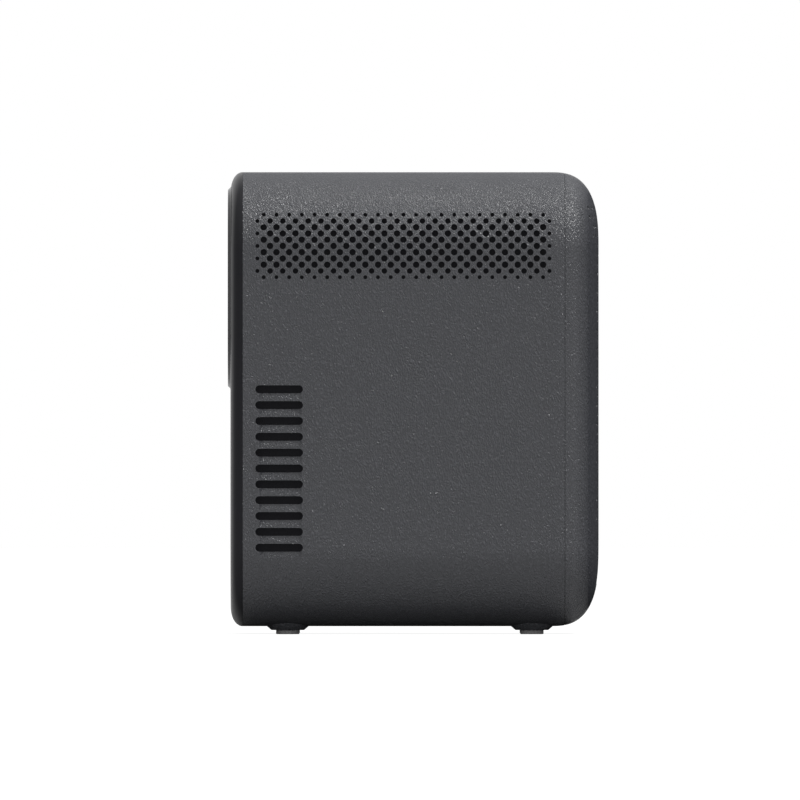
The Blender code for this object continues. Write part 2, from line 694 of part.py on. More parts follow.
def main_shell(material):
    """The moulded sleeve: one rounded tube with its grilles, louvres and bosses."""
    sleeve = body_outline(bmesh.new(), 0, SHELL_FRONT_Y, CAP_CURVE_Y)
    draw_in(sleeve, faces_at(sleeve, 1, CAP_CURVE_Y)[0], rounding(
        CAP_PILLOW_INSET, CAP_PILLOW_DEPTH, CAP_FULLNESS, 0, SHELL_REAR_Y - CAP_CURVE_Y,
        SHELL_REAR_STEPS))
    obj = piece("main_shell", sleeve, material)
    hollow = body_outline(
        bmesh.new(), WALL, SHELL_FRONT_Y - CUT_OVERRUN, SHELL_REAR_Y + CUT_OVERRUN
    )
    cut(obj, hollow, "hollow")

    # the left side's grille and the rear cap's perforation are left to the visual model
    dots = bmesh.new()
    for y, z, radius in grille_holes():
        start_x = inner_wall_x(z + radius) - CUT_OVERRUN
        rod(dots, (start_x, y, z), BODY_WIDTH / 2 + CUT_OVERRUN - start_x, radius,
            axis=0, sides=GRILLE_SIDES)
    cut(obj, dots, "dots")

    slots = bmesh.new()
    scoops = bmesh.new()
    for z in louvre_heights():
        block(
            slots,
            (INNER_SIDE_X - CUT_OVERRUN, LOUVRE_FRONT_Y, z - LOUVRE_HEIGHT / 2),
            (BODY_WIDTH / 2 + CUT_OVERRUN, LOUVRE_REAR_Y, z + LOUVRE_HEIGHT / 2),
            LOUVRE_HEIGHT / 2 - SEAT_GAP, 0, LOUVRE_END_SEGMENTS,
        )
        scoop(scoops, z)
    cut(obj, scoops, "scoops")
    cut(obj, slots, "slots")

    join(obj, shell_posts(), "posts")
    join(obj, foot_bosses(), "foot_bosses")
    cut(obj, shell_bores(), "bores")
    return obj


def scoop(bm, z):
    """The slope under one louvre, which rises from the slot to the outside."""
    outer_x = BODY_WIDTH / 2
    lower_z = z - LOUVRE_HEIGHT / 2
    end = LOUVRE_HEIGHT / 2
    block(
        bm,
        (outer_x - LOUVRE_SCOOP_DEPTH, LOUVRE_FRONT_Y + end, lower_z - LOUVRE_SCOOP),
        (outer_x + LOUVRE_SCOOP_DEPTH, LOUVRE_REAR_Y - end, z),
    )
    bm.verts.ensure_lookup_table()
    for vert in bm.verts[-8:]:
        if vert.co.z < lower_z and vert.co.x < outer_x:
            vert.co.z = lower_z
        elif vert.co.z < lower_z:
            vert.co.z = lower_z - 2 * LOUVRE_SCOOP


def front_cover(material):
    """A shallow tray with a soft front edge, a lip into the shell and a pocket for the bezel."""
    edge_y = SHELL_FRONT_Y - SEAM_GAP
    bm = body_outline(bmesh.new(), 0, edge_y, edge_y + SEAM_GAP / 2)
    draw_in(bm, faces_at(bm, 1, edge_y)[0], rounding(
        COVER_EDGE, edge_y - COVER_FACE_Y, COVER_FULLNESS, 0, edge_y - COVER_FACE_Y,
        COVER_EDGE_SEGMENTS))
    obj = piece("front_cover", bm, material)
    lip_inset = WALL + SEAT_GAP
    back_y = COVER_FACE_Y + COVER_SKIN
    lip_end_y = SHELL_FRONT_Y + LIP_REACH
    join(obj, body_outline(bmesh.new(), lip_inset, back_y - COVER_SKIN / 2, lip_end_y), "lip")
    hollow = body_outline(bmesh.new(), lip_inset + LIP_WALL, back_y, lip_end_y + CUT_OVERRUN)
    cut(obj, hollow, "hollow")

    pocket = bezel_outline(SEAT_GAP, COVER_FACE_Y - CUT_OVERRUN, BEZEL_BACK_Y + SEAT_GAP)
    cut(obj, pocket, "pocket")
    openings = bmesh.new()
    through = COVER_SKIN + 2 * CUT_OVERRUN
    rod(openings, (0, COVER_FACE_Y - CUT_OVERRUN, LENS_Z), through, HOOD_FRONT_RADIUS, axis=1)
    rod(openings, (CAMERA_X, COVER_FACE_Y - CUT_OVERRUN, LENS_Z), through,
        CAMERA_RADIUS - SEAT_GAP, axis=1, sides=SMALL_SIDES)
    cut(obj, openings, "openings")
    return obj


def bezel_outline(grow, front_y, rear_y):
    half_width = BEZEL_WIDTH / 2 + grow
    half_height = BEZEL_HEIGHT / 2 + grow
    low = (-half_width, front_y, LENS_Z - half_height)
    high = (half_width, rear_y, LENS_Z + half_height)
    return block(bmesh.new(), low, high, BEZEL_RADIUS + grow)


def window_bezel(material):
    """The raised panel round the lens, with a chamfered rim and seats for its two windows."""
    bm = bezel_outline(0, BEZEL_FACE_Y, BEZEL_BACK_Y)
    bmesh.ops.bevel(
        bm, geom=edges_at(bm, 1, BEZEL_FACE_Y), offset=BEZEL_RIM,
        segments=1, profile=0.5, affect="EDGES",
    )
    obj = piece("window_bezel", bm, material)
    seats = bmesh.new()
    rod(seats, (0, BEZEL_FACE_Y - CUT_OVERRUN, LENS_Z),
        CUT_OVERRUN + WINDOW_INSET + WINDOW_THICKNESS + SEAT_GAP, WINDOW_RADIUS + SEAT_GAP, axis=1)
    rod(seats, (CAMERA_X, BEZEL_FACE_Y - CUT_OVERRUN, LENS_Z),
        CUT_OVERRUN + WINDOW_INSET + CAMERA_THICKNESS + SEAT_GAP, CAMERA_RADIUS + SEAT_GAP,
        axis=1, sides=SMALL_SIDES)
    cut(obj, seats, "seats")
    holes = bmesh.new()
    through = BEZEL_THICKNESS + 2 * CUT_OVERRUN
    rod(holes, (0, BEZEL_FACE_Y - CUT_OVERRUN, LENS_Z), through,
        WINDOW_RADIUS - BEZEL_LEDGE, axis=1)
    rod(holes, (CAMERA_X, BEZEL_FACE_Y - CUT_OVERRUN, LENS_Z), through,
        CAMERA_RADIUS / 2, axis=1, sides=SMALL_SIDES)
    cut(obj, holes, "holes")
    return obj


def lens_window(material):
    bm = rod(bmesh.new(), (0, WINDOW_FRONT_Y, LENS_Z), WINDOW_THICKNESS, WINDOW_RADIUS, axis=1)
    return piece("lens_window", bm, material)


def camera_window(material):
    bm = rod(bmesh.new(), (CAMERA_X, WINDOW_FRONT_Y, LENS_Z), CAMERA_THICKNESS, CAMERA_RADIUS,
             axis=1, sides=SMALL_SIDES)
    return piece("camera_window", bm, material)


def lens_hood(material):
    """A stepped ring that keeps stray light off the lens."""
    inner = []
    for step in range(HOOD_STEPS):
        share = step / HOOD_STEPS
        next_share = (step + 1) / HOOD_STEPS
        radius = HOOD_FRONT_RADIUS + (HOOD_REAR_RADIUS - HOOD_FRONT_RADIUS) * share
        inner.append((radius, HOOD_LENGTH * share))
        inner.append((radius, HOOD_LENGTH * next_share))
    outer = [
        (HOOD_REAR_RADIUS + HOOD_WALL, HOOD_LENGTH),
        (HOOD_FRONT_RADIUS + HOOD_WALL, HOOD_FLANGE_THICKNESS),
        (HOOD_FLANGE_RADIUS, HOOD_FLANGE_THICKNESS),
        (HOOD_FLANGE_RADIUS, 0),
    ]
    return turned("lens_hood", inner + outer, (0, HOOD_FRONT_Y, LENS_Z), 1, material)


def pillow(bm, inset, start_y):
    """The cap's soft form: the body's outline drawn in along a full curve towards the back."""
    depth = CAP_PILLOW_DEPTH - inset
    first_y = SHELL_REAR_Y + SEAM_GAP
    places = list(rounding(
        CAP_PILLOW_INSET - inset, depth, CAP_FULLNESS, first_y - CAP_CURVE_Y, depth, CAP_STEPS))
    body_outline(bm, inset + places[0][0], start_y, first_y)
    return draw_in(bm, faces_at(bm, 1, first_y)[0], places)


def rear_cover(material):
    """The pillow-shaped cap with a lip into the shell and a sunk seat for the socket panel."""
    obj = piece("rear_cover", pillow(bmesh.new(), 0, SHELL_REAR_Y + SEAM_GAP / 2), material)
    lip_inset = WALL + SEAT_GAP
    lip_start_y = SHELL_REAR_Y - LIP_REACH
    lip = body_outline(bmesh.new(), lip_inset, lip_start_y, SHELL_REAR_Y + LIP_REACH)
    join(obj, lip, "lip")
    frame = bmesh.new()
    panel_block(frame, PANEL_LEDGE, PANEL_FRONT_Y - SEAT_GAP - WALL / 2,
                REAR_FACE_Y - PANEL_FRAME_SINK)
    cut(obj, pillow(bmesh.new(), lip_inset + LIP_WALL, lip_start_y - CUT_OVERRUN), "hollow")
    join(obj, frame, "panel_frame")
    seat = bmesh.new()
    panel_block(seat, SEAT_GAP, PANEL_FRONT_Y - SEAT_GAP, REAR_FACE_Y + CUT_OVERRUN)
    cut(obj, seat, "panel_seat")
    way = bmesh.new()
    panel_block(way, -PANEL_LEDGE, PANEL_FRONT_Y - WALL - CUT_OVERRUN, REAR_FACE_Y)
    cut(obj, way, "panel_way")
    return obj


def panel_block(bm, grow, front_y, rear_y):
    half_width = PANEL_WIDTH / 2 + grow
    half_height = PANEL_HEIGHT / 2 + grow
    low = (-half_width, front_y, PANEL_Z - half_height)
    high = (half_width, rear_y, PANEL_Z + half_height)
    return block(bm, low, high, PANEL_RADIUS, 1, EDGE_SEGMENTS)


SOCKETS = {
    "hdmi_socket": (HDMI_X, HDMI_OPENING_WIDTH, HDMI_OPENING_HEIGHT),
    "usb_socket": (USB_X, USB_OPENING_WIDTH, USB_OPENING_HEIGHT),
}
JACKS = {
    "dc_socket": (DC_X, DC_BODY, DC_BORE_RADIUS),
    "audio_socket": (AUDIO_X, AUDIO_BODY, AUDIO_BORE_RADIUS),
}


def port_panel(material):
    obj = piece("port_panel", panel_block(bmesh.new(), 0, PANEL_FRONT_Y, PANEL_REAR_Y), material)
    holes = bmesh.new()
    for x, width, height in SOCKETS.values():
        block(holes, (x - width / 2, PANEL_FRONT_Y - CUT_OVERRUN, PANEL_Z - height / 2),
              (x + width / 2, PANEL_REAR_Y + CUT_OVERRUN, PANEL_Z + height / 2))
    for x, _, radius in JACKS.values():
        rod(holes, (x, PANEL_FRONT_Y - CUT_OVERRUN, PANEL_Z),
            PANEL_THICKNESS + 2 * CUT_OVERRUN, radius, axis=1, sides=SMALL_SIDES)
    cut(obj, holes, "holes")
    return obj


def sockets(material, jack_material):
    """Metal shells for the flat plugs and moulded blocks for the round ones."""
    front_y = MAIN_BOARD_REAR_Y + SEAT_GAP
    mouth_y = PANEL_FRONT_Y - SEAT_GAP
    for name, (x, width, height) in SOCKETS.items():
        half_x = width / 2 + SOCKET_WALL
        half_z = height / 2 + SOCKET_WALL
        obj = piece(name, block(bmesh.new(), (x - half_x, front_y, PANEL_Z - half_z),
                                (x + half_x, mouth_y, PANEL_Z + half_z)), material)
        mouth = block(bmesh.new(), (x - width / 2, front_y + SOCKET_FLOOR, PANEL_Z - height / 2),
                      (x + width / 2, mouth_y + CUT_OVERRUN, PANEL_Z + height / 2))
        cut(obj, mouth, "mouth")
    for name, (x, size, radius) in JACKS.items():
        half = size / 2
        obj = piece(name, block(bmesh.new(), (x - half, front_y, PANEL_Z - half),
                                (x + half, mouth_y, PANEL_Z + half)), jack_material)
        bore = rod(bmesh.new(), (x, front_y + SOCKET_FLOOR, PANEL_Z),
                   mouth_y - front_y - SOCKET_FLOOR + CUT_OVERRUN, radius,
                   axis=1, sides=SMALL_SIDES)
        cut(obj, bore, "bore")


def feet(material):
    top = FOOT_HEIGHT + FOOT_SINK - SEAT_GAP
    profile = [
        (0, top),
        (FOOT_RADIUS, top),
        (FOOT_RADIUS, FOOT_EDGE),
        (FOOT_RADIUS - FOOT_EDGE, 0),
        (0, 0),
    ]
    for where, (x, y) in FOOT_PLACES.items():
        turned(f"foot_{where}", profile, (x, y, 0), 2, material, SMALL_SIDES)


def tripod_nut(material):
    low_z = BASE_Z + SEAT_GAP
    obj = piece("tripod_nut", rod(bmesh.new(), (0, 0, low_z), NUT_LENGTH, NUT_RADIUS), material)
    hole = rod(bmesh.new(), (0, 0, low_z - CUT_OVERRUN), NUT_LENGTH + 2 * CUT_OVERRUN,
               NUT_HOLE_RADIUS, sides=SMALL_SIDES)
    cut(obj, hole, "thread")
    return obj


def power_button(material):
    flange_low = BUTTON_FLANGE_TOP_Z - BUTTON_FLANGE_THICKNESS
    rim = BUTTON_RADIUS - BUTTON_DISH
    profile = [
        (0, BUTTON_TOP_Z - BUTTON_DISH),
        (rim - BUTTON_DISH, BUTTON_TOP_Z),
        (rim, BUTTON_TOP_Z),
        (BUTTON_RADIUS, BUTTON_TOP_Z - BUTTON_DISH),
        (BUTTON_RADIUS, BUTTON_FLANGE_TOP_Z),
        (BUTTON_RADIUS + BUTTON_FLANGE, BUTTON_FLANGE_TOP_Z),
        (BUTTON_RADIUS + BUTTON_FLANGE, flange_low),
        (BUTTON_STEM_RADIUS, flange_low),
        (BUTTON_STEM_RADIUS, BUTTON_STEM_END_Z),
        (0, BUTTON_STEM_END_Z),
    ]
    return turned("power_button", profile, (0, BUTTON_Y, 0), 2, material)


def button_board(material):
    half_x = BUTTON_BOARD_WIDTH / 2
    half_y = BUTTON_BOARD_LENGTH / 2
    obj = piece("button_board", block(
        bmesh.new(), (-half_x, BUTTON_Y - half_y, BUTTON_BOARD_TOP_Z - BOARD_THICKNESS),
        (half_x, BUTTON_Y + half_y, BUTTON_BOARD_TOP_Z)), material)
    half = SWITCH_SIZE / 2
    switch = block(bmesh.new(), (-half, BUTTON_Y - half, BUTTON_BOARD_TOP_Z - BOARD_THICKNESS / 2),
                   (half, BUTTON_Y + half, SWITCH_TOP_Z - SWITCH_CAP_HEIGHT))
    join(obj, switch, "switch")
    cap_low = SWITCH_TOP_Z - SWITCH_CAP_HEIGHT - SWITCH_HEIGHT / 2
    join(obj, rod(bmesh.new(), (0, BUTTON_Y, cap_low), SWITCH_TOP_Z - cap_low,
                  SWITCH_CAP_RADIUS, sides=SMALL_SIDES), "cap")
    return obj


def base_chassis(material):
    """A pressed plate on the shell's posts, with a tab that holds the main board upright."""
    half = CHASSIS_WIDTH / 2
    obj = piece("base_chassis", block(
        bmesh.new(), (-half, CHASSIS_FRONT_Y, CHASSIS_BOTTOM_Z),
        (half, CHASSIS_REAR_Y, CHASSIS_TOP_Z), CHASSIS_RADIUS, 2, EDGE_SEGMENTS), material)
    tab_half = CHASSIS_TAB_WIDTH / 2
    tab = block(bmesh.new(),
                (-tab_half, CHASSIS_REAR_Y - CHASSIS_THICKNESS, CHASSIS_BOTTOM_Z),
                (tab_half, CHASSIS_REAR_Y, CHASSIS_TOP_Z + CHASSIS_TAB_HEIGHT))
    join(obj, tab, "tab")
    holes = bmesh.new()
    for x, y in SCREW_PLACES:
        rod(holes, (x, y, CHASSIS_BOTTOM_Z - CUT_OVERRUN), CHASSIS_THICKNESS + 2 * CUT_OVERRUN,
            SCREW_RADIUS + SEAT_GAP, sides=TINY_SIDES)
    cut(obj, holes, "screw_holes")
    return obj


def chassis_screws(material):
    seat = CHASSIS_TOP_Z + SEAT_GAP
    profile = [
        (0, seat + SCREW_HEAD_HEIGHT),
        (SCREW_HEAD_RADIUS - SCREW_HEAD_CHAMFER, seat + SCREW_HEAD_HEIGHT),
        (SCREW_HEAD_RADIUS, seat + SCREW_HEAD_HEIGHT / 2),
        (SCREW_HEAD_RADIUS, seat),
        (SCREW_RADIUS, seat),
        (SCREW_RADIUS, seat - SCREW_LENGTH),
        (0, seat - SCREW_LENGTH),
    ]
    for number, (x, y) in enumerate(SCREW_PLACES, 1):
        turned(f"chassis_screw_{number}", profile, (x, y, 0), 2, material, TINY_SIDES)


def centred_block(width, length, low_z, high_z):
    """A block about the light engine's vertical axis."""
    return block(
        bmesh.new(), (-width / 2, ENGINE_Y - length / 2, low_z),
        (width / 2, ENGINE_Y + length / 2, high_z),
    )


def light_source(copper, board):
    spreader = centred_block(SPREADER_WIDTH, SPREADER_LENGTH, SPREADER_BOTTOM_Z,
                             SPREADER_BOTTOM_Z + SPREADER_THICKNESS)
    piece("heat_spreader", spreader, copper)
    led_board = centred_block(LED_BOARD_WIDTH, LED_BOARD_LENGTH, LED_BOARD_BOTTOM_Z,
                              LED_BOARD_TOP_Z)
    obj = piece("led_board", led_board, board)
    emitter = centred_block(LED_WIDTH, LED_LENGTH, LED_BOARD_BOTTOM_Z + BOARD_THICKNESS / 2,
                            LED_BOARD_TOP_Z + LED_HEIGHT)
    join(obj, emitter, "emitter")


def engine_lower(material):
    """The light tunnel: a box with four legs, open at the top, that holds the plates."""
    obj = piece("engine_lower", centred_block(ENGINE_WIDTH, ENGINE_LENGTH, ENGINE_BOTTOM_Z,
                                              ENGINE_SPLIT_Z), material)
    legs = bmesh.new()
    overlap = ENGINE_WALL / 2
    for side_x in (-1, 1):
        for side_y in (-1, 1):
            x = side_x * (ENGINE_WIDTH - ENGINE_LEG) / 2
            y = ENGINE_Y + side_y * (ENGINE_LENGTH - ENGINE_LEG) / 2
            block(legs, (x - ENGINE_LEG / 2, y - ENGINE_LEG / 2, CHASSIS_TOP_Z + SEAT_GAP),
                  (x + ENGINE_LEG / 2, y + ENGINE_LEG / 2, ENGINE_BOTTOM_Z + overlap))
    join(obj, legs, "legs")
    cut(obj, centred_block(ENGINE_WIDTH - 2 * ENGINE_WALL, ENGINE_LENGTH - 2 * ENGINE_WALL,
                           ENGINE_BOTTOM_Z + ENGINE_WALL, ENGINE_SPLIT_Z + CUT_OVERRUN), "tunnel")
    cut(obj, centred_block(LED_OPENING_WIDTH, LED_OPENING_LENGTH,
                           ENGINE_BOTTOM_Z - CUT_OVERRUN,
                           ENGINE_BOTTOM_Z + ENGINE_WALL + CUT_OVERRUN), "led_opening")
    return obj


def tunnel_plates(lens, panel):
    """Field lens, LCD panel and field lens, one above the other at the top of the tunnel."""
    width = ENGINE_WIDTH - 2 * ENGINE_WALL - 2 * SEAT_GAP
    length = ENGINE_LENGTH - 2 * ENGINE_WALL - 2 * SEAT_GAP
    top = ENGINE_SPLIT_Z - SEAT_GAP
    plates = [
        ("field_lens_upper", FIELD_LENS_THICKNESS, lens),
        ("lcd_panel", LCD_THICKNESS, panel),
        ("field_lens_lower", FIELD_LENS_THICKNESS, lens),
    ]
    for name, thickness, material in plates:
        piece(name, centred_block(width, length, top - thickness, top), material)
        top -= thickness + PANEL_SPACING


def dome(radius, height, steps):
    """Points of a spherical cap from its rim to its crown, as (radius, height)."""
    sphere = (radius * radius + height * height) / (2 * height)
    half_angle = math.asin(radius / sphere)
    for step in range(steps + 1):
        angle = half_angle * (1 - step / steps)
        yield sphere * math.sin(angle), sphere * math.cos(angle) - sphere + height


def condenser_lens(material):
    low = ENGINE_BOTTOM_Z + ENGINE_WALL + SEAT_GAP
    rim = low + CONDENSER_RIM
    crown = [(r, rim + h) for r, h in dome(CONDENSER_RADIUS, CONDENSER_CROWN, DOME_STEPS)]
    profile = crown[::-1] + [(CONDENSER_RADIUS, low), (0, low)]
    return turned("condenser_lens", profile, (0, ENGINE_Y, 0), 2, material)


def side_prism(points, half_width):
    """A flat outline in Y and Z, extruded across the body."""
    bm = bmesh.new()
    face = bm.faces.new([bm.verts.new((-half_width, y, z)) for y, z in points])
    swept = bmesh.ops.extrude_face_region(bm, geom=[face])["geom"]
    moved = [item for item in swept if isinstance(item, bmesh.types.BMVert)]
    bmesh.ops.translate(bm, verts=moved, vec=(2 * half_width, 0, 0))
    bmesh.ops.recalc_face_normals(bm, faces=bm.faces)
    return bm


def mirror_box_outline(inset, bottom_z):
    """Front wall, 45 degree roof and rear wall of the upper housing, drawn in by the inset."""
    front = ENGINE_FRONT_Y + inset
    rear = ENGINE_REAR_Y - inset
    roof_drop = inset * math.sqrt(2)
    roof_at_front = LENS_Z + ENGINE_Y - ENGINE_FRONT_Y - roof_drop
    corner = roof_at_front - inset
    return [
        (front, bottom_z),
        (rear, bottom_z),
        (rear, corner - (rear - front)),
        (front + MIRROR_BOX_SHELF, corner - MIRROR_BOX_SHELF),
        (front, corner - MIRROR_BOX_SHELF),
    ]


def engine_upper(material):
    """The mirror box: its sloping roof turns the light from upwards to forwards."""
    bottom = ENGINE_SPLIT_Z + SEAT_GAP
    obj = piece("engine_upper", side_prism(mirror_box_outline(0, bottom), ENGINE_WIDTH / 2),
                material)
    hollow = mirror_box_outline(ENGINE_WALL, bottom - CUT_OVERRUN)
    cut(obj, side_prism(hollow, ENGINE_WIDTH / 2 - ENGINE_WALL), "hollow")
    cut(obj, rod(bmesh.new(), (0, ENGINE_FRONT_Y - CUT_OVERRUN, LENS_Z),
                 ENGINE_WALL + 2 * CUT_OVERRUN, BARREL_RADIUS - BARREL_WALL, axis=1), "lens_hole")
    return obj


def fold_mirror(material):
    """A glass plate under the sloping roof."""
    width = ENGINE_WIDTH - 2 * ENGINE_WALL - 2 * SEAT_GAP
    bm = block(bmesh.new(), (-width / 2, -MIRROR_LENGTH / 2, -MIRROR_THICKNESS),
               (width / 2, MIRROR_LENGTH / 2, 0))
    outline = mirror_box_outline(ENGINE_WALL + SEAT_GAP, ENGINE_SPLIT_Z)
    (rear_y, rear_z), (front_y, front_z) = outline[2], outline[3]
    middle = (0, (rear_y + front_y) / 2, (rear_z + front_z) / 2)
    turn = Matrix.Translation(middle) @ Matrix.Rotation(math.radians(-45), 4, "X")
    bmesh.ops.transform(bm, matrix=turn, verts=bm.verts)
    return piece("fold_mirror", bm, material)


def lens_mount(material):
    """Flange on the mirror box with the tube that the barrel slides in."""
    half = ENGINE_WIDTH / 2
    bm = block(bmesh.new(), (-half, MOUNT_FLANGE_FRONT_Y, LENS_Z - MOUNT_FLANGE_BELOW),
               (half, MOUNT_FLANGE_BACK_Y, LENS_Z + MOUNT_FLANGE_ABOVE),
               MOUNT_FLANGE_RADIUS, 1, EDGE_SEGMENTS)
    obj = piece("lens_mount", bm, material)
    overlap = MOUNT_FLANGE_THICKNESS / 2
    join(obj, rod(bmesh.new(), (0, MOUNT_FRONT_Y, LENS_Z), MOUNT_LENGTH + overlap,
                  MOUNT_RADIUS, axis=1), "tube")
    shoulder_y = RING_REAR_Y + SEAT_GAP
    join(obj, rod(bmesh.new(), (0, shoulder_y, LENS_Z), MOUNT_SHOULDER_THICKNESS,
                  MOUNT_RADIUS + MOUNT_SHOULDER, axis=1), "shoulder")
    cut(obj, rod(bmesh.new(), (0, MOUNT_FRONT_Y - CUT_OVERRUN, LENS_Z),
                 MOUNT_LENGTH + MOUNT_FLANGE_THICKNESS + 2 * CUT_OVERRUN, MOUNT_BORE,
                 axis=1), "bore")
    return obj


def tooth_points(teeth, count, pitch_radius, first_angle):
    """Corners of some of a gear's teeth, in order, as (radius, angle)."""
    step = 2 * math.pi / teeth
    root = pitch_radius - GEAR_DEDENDUM_SHARE * GEAR_MODULE
    tip = pitch_radius + GEAR_ADDENDUM_SHARE * GEAR_MODULE
    for tooth in range(count):
        middle = first_angle + tooth * step
        yield root, middle - step * TOOTH_ROOT_SHARE / 2
        yield tip, middle - step * TOOTH_TIP_SHARE / 2
        yield tip, middle + step * TOOTH_TIP_SHARE / 2
        yield root, middle + step * TOOTH_ROOT_SHARE / 2


def toothed_disc(points, x, z, front_y, length):
    """A flat outline of (radius, angle) points in X and Z, made into a disc along Y."""
    bm = bmesh.new()
    ring = [
        bm.verts.new((x + r * math.cos(a), front_y, z + r * math.sin(a))) for r, a in points
    ]
    swept = bmesh.ops.extrude_face_region(bm, geom=[bm.faces.new(ring)])["geom"]
    moved = [item for item in swept if isinstance(item, bmesh.types.BMVert)]
    bmesh.ops.translate(bm, verts=moved, vec=(0, length, 0))
    bmesh.ops.recalc_face_normals(bm, faces=bm.faces)
    return bm


def focus_ring(material):
    """The focus ring, toothed only over the arc that its motor reaches."""
    step = 2 * math.pi / RING_TEETH
    first = PINION_DIRECTION - (RING_TOOTHED - 1) / 2 * step
    points = list(tooth_points(RING_TEETH, RING_TOOTHED, RING_PITCH_RADIUS, first))
    root = RING_PITCH_RADIUS - GEAR_DEDENDUM_SHARE * GEAR_MODULE
    plain_start = first + (RING_TOOTHED - 0.5) * step
    plain_arc = 2 * math.pi - RING_TOOTHED * step
    points += [(root, plain_start + plain_arc * n / ROUND_SIDES) for n in range(ROUND_SIDES)]
    front_y = RING_REAR_Y - RING_LENGTH
    obj = piece("focus_ring", toothed_disc(points, 0, 0, 0, RING_LENGTH), material)
    obj.location = (0, front_y, LENS_Z)
    bore = rod(bmesh.new(), (0, front_y - CUT_OVERRUN, LENS_Z), RING_LENGTH + 2 * CUT_OVERRUN,
               MOUNT_RADIUS + SEAT_GAP, axis=1)
    cut(obj, bore, "bore")
    return obj


def motor_pinion(material):
    """Small gear on the focus motor; one tooth points into a gap of the ring."""
    towards_ring = PINION_DIRECTION + math.pi
    points = list(tooth_points(PINION_TEETH, PINION_TEETH, PINION_PITCH_RADIUS, towards_ring))
    obj = piece("motor_pinion", toothed_disc(points, 0, 0, 0, PINION_LENGTH), material)
    front_y = RING_REAR_Y - (RING_LENGTH + PINION_LENGTH) / 2
    obj.location = (PINION_X, front_y, PINION_Z)
    bore = rod(bmesh.new(), (PINION_X, front_y - CUT_OVERRUN, PINION_Z),
               PINION_LENGTH + 2 * CUT_OVERRUN, MOTOR_SHAFT_RADIUS + SEAT_GAP, axis=1,
               sides=SMALL_SIDES)
    cut(obj, bore, "bore")
    return obj


def focus_motor(material):
    can_front = MOUNT_FLANGE_FRONT_Y - SEAT_GAP - MOTOR_LENGTH
    shaft_front = RING_REAR_Y - RING_LENGTH
    obj = piece("focus_motor", rod(bmesh.new(), (PINION_X, can_front, PINION_Z), MOTOR_LENGTH,
                                   MOTOR_RADIUS, axis=1, sides=SMALL_SIDES), material)
    shaft = rod(bmesh.new(), (PINION_X, shaft_front, PINION_Z),
                can_front - shaft_front + MOTOR_LENGTH / 2, MOTOR_SHAFT_RADIUS, axis=1,
                sides=SMALL_SIDES)
    join(obj, shaft, "shaft")
    return obj


def lens_barrel(material):
    """The sliding barrel, with a shoulder for the lens at each end."""
    inner = BARREL_RADIUS - BARREL_WALL
    land = inner - BARREL_LAND
    profile = [
        (BARREL_RADIUS, BARREL_LENGTH),
        (BARREL_RADIUS, 0),
        (inner, 0),
        (inner, BARREL_SEAT_DEPTH),
        (land, BARREL_SEAT_DEPTH),
        (land, BARREL_LENGTH - BARREL_SEAT_DEPTH),
        (inner, BARREL_LENGTH - BARREL_SEAT_DEPTH),
        (inner, BARREL_LENGTH),
    ]
    return turned("lens_barrel", profile, (0, BARREL_FRONT_Y, LENS_Z), 1, material)


def lens_elements(material):
    """A plano-convex lens against each shoulder of the barrel, its crown outwards."""
    radius = BARREL_RADIUS - BARREL_WALL - SEAT_GAP
    seat = BARREL_SEAT_DEPTH - SEAT_GAP
    front = [(0, seat), (radius, seat)]
    front += [(r, seat - LENS_RIM - h) for r, h in dome(radius, LENS_CROWN, DOME_STEPS)]
    rear_seat = BARREL_LENGTH - seat
    rear = [(r, rear_seat + LENS_RIM + h) for r, h in dome(radius, LENS_CROWN, DOME_STEPS)][::-1]
    rear += [(radius, rear_seat), (0, rear_seat)]
    place = (0, BARREL_FRONT_Y, LENS_Z)
    turned("front_lens", front, place, 1, material)
    turned("rear_lens", rear, place, 1, material)


def blower_outline(bm, inset, front_y, rear_y):
    """Round at the back and straight towards the louvres."""
    radius = BLOWER_RADIUS - inset
    outlet_x = FIN_INNER_X - SEAT_GAP
    rod(bm, (BLOWER_X, front_y, BLOWER_Z), rear_y - front_y, radius, axis=1)
    stretched = [v for v in bm.verts if v.co.x > BLOWER_X + radius / ROUND_SIDES]
    for vert in stretched:
        vert.co.x = outlet_x + (CUT_OVERRUN if inset else 0)
        vert.co.z = BLOWER_Z + math.copysign(radius, vert.co.z - BLOWER_Z)
    bmesh.ops.remove_doubles(bm, verts=bm.verts, dist=MERGE_REACH)
    bmesh.ops.recalc_face_normals(bm, faces=bm.faces)
    return bm


def blower_frame(material):
    """A scroll tray that is open to the lid and to the fins, with the rotor's pin and two legs."""
    tray_rear = BLOWER_REAR_Y - BLOWER_WALL - SEAT_GAP
    obj = piece("blower_frame", blower_outline(bmesh.new(), 0, BLOWER_FRONT_Y, tray_rear), material)
    legs = bmesh.new()
    for x in (BLOWER_X - BLOWER_RADIUS / 2, BLOWER_X + BLOWER_RADIUS / 2):
        block(legs, (x - BLOWER_LEG / 2, BLOWER_FRONT_Y, CHASSIS_TOP_Z + SEAT_GAP),
              (x + BLOWER_LEG / 2, tray_rear, BLOWER_Z))
    join(obj, legs, "legs")
    floor_y = BLOWER_FRONT_Y + BLOWER_WALL
    cut(obj, blower_outline(bmesh.new(), BLOWER_WALL, floor_y, tray_rear + CUT_OVERRUN), "scroll")
    pin = rod(bmesh.new(), (BLOWER_X, floor_y - BLOWER_WALL / 2, BLOWER_Z),
              BLOWER_PIN_LENGTH + BLOWER_WALL / 2, BLOWER_PIN_RADIUS, axis=1, sides=SMALL_SIDES)
    join(obj, pin, "pin")
    return obj


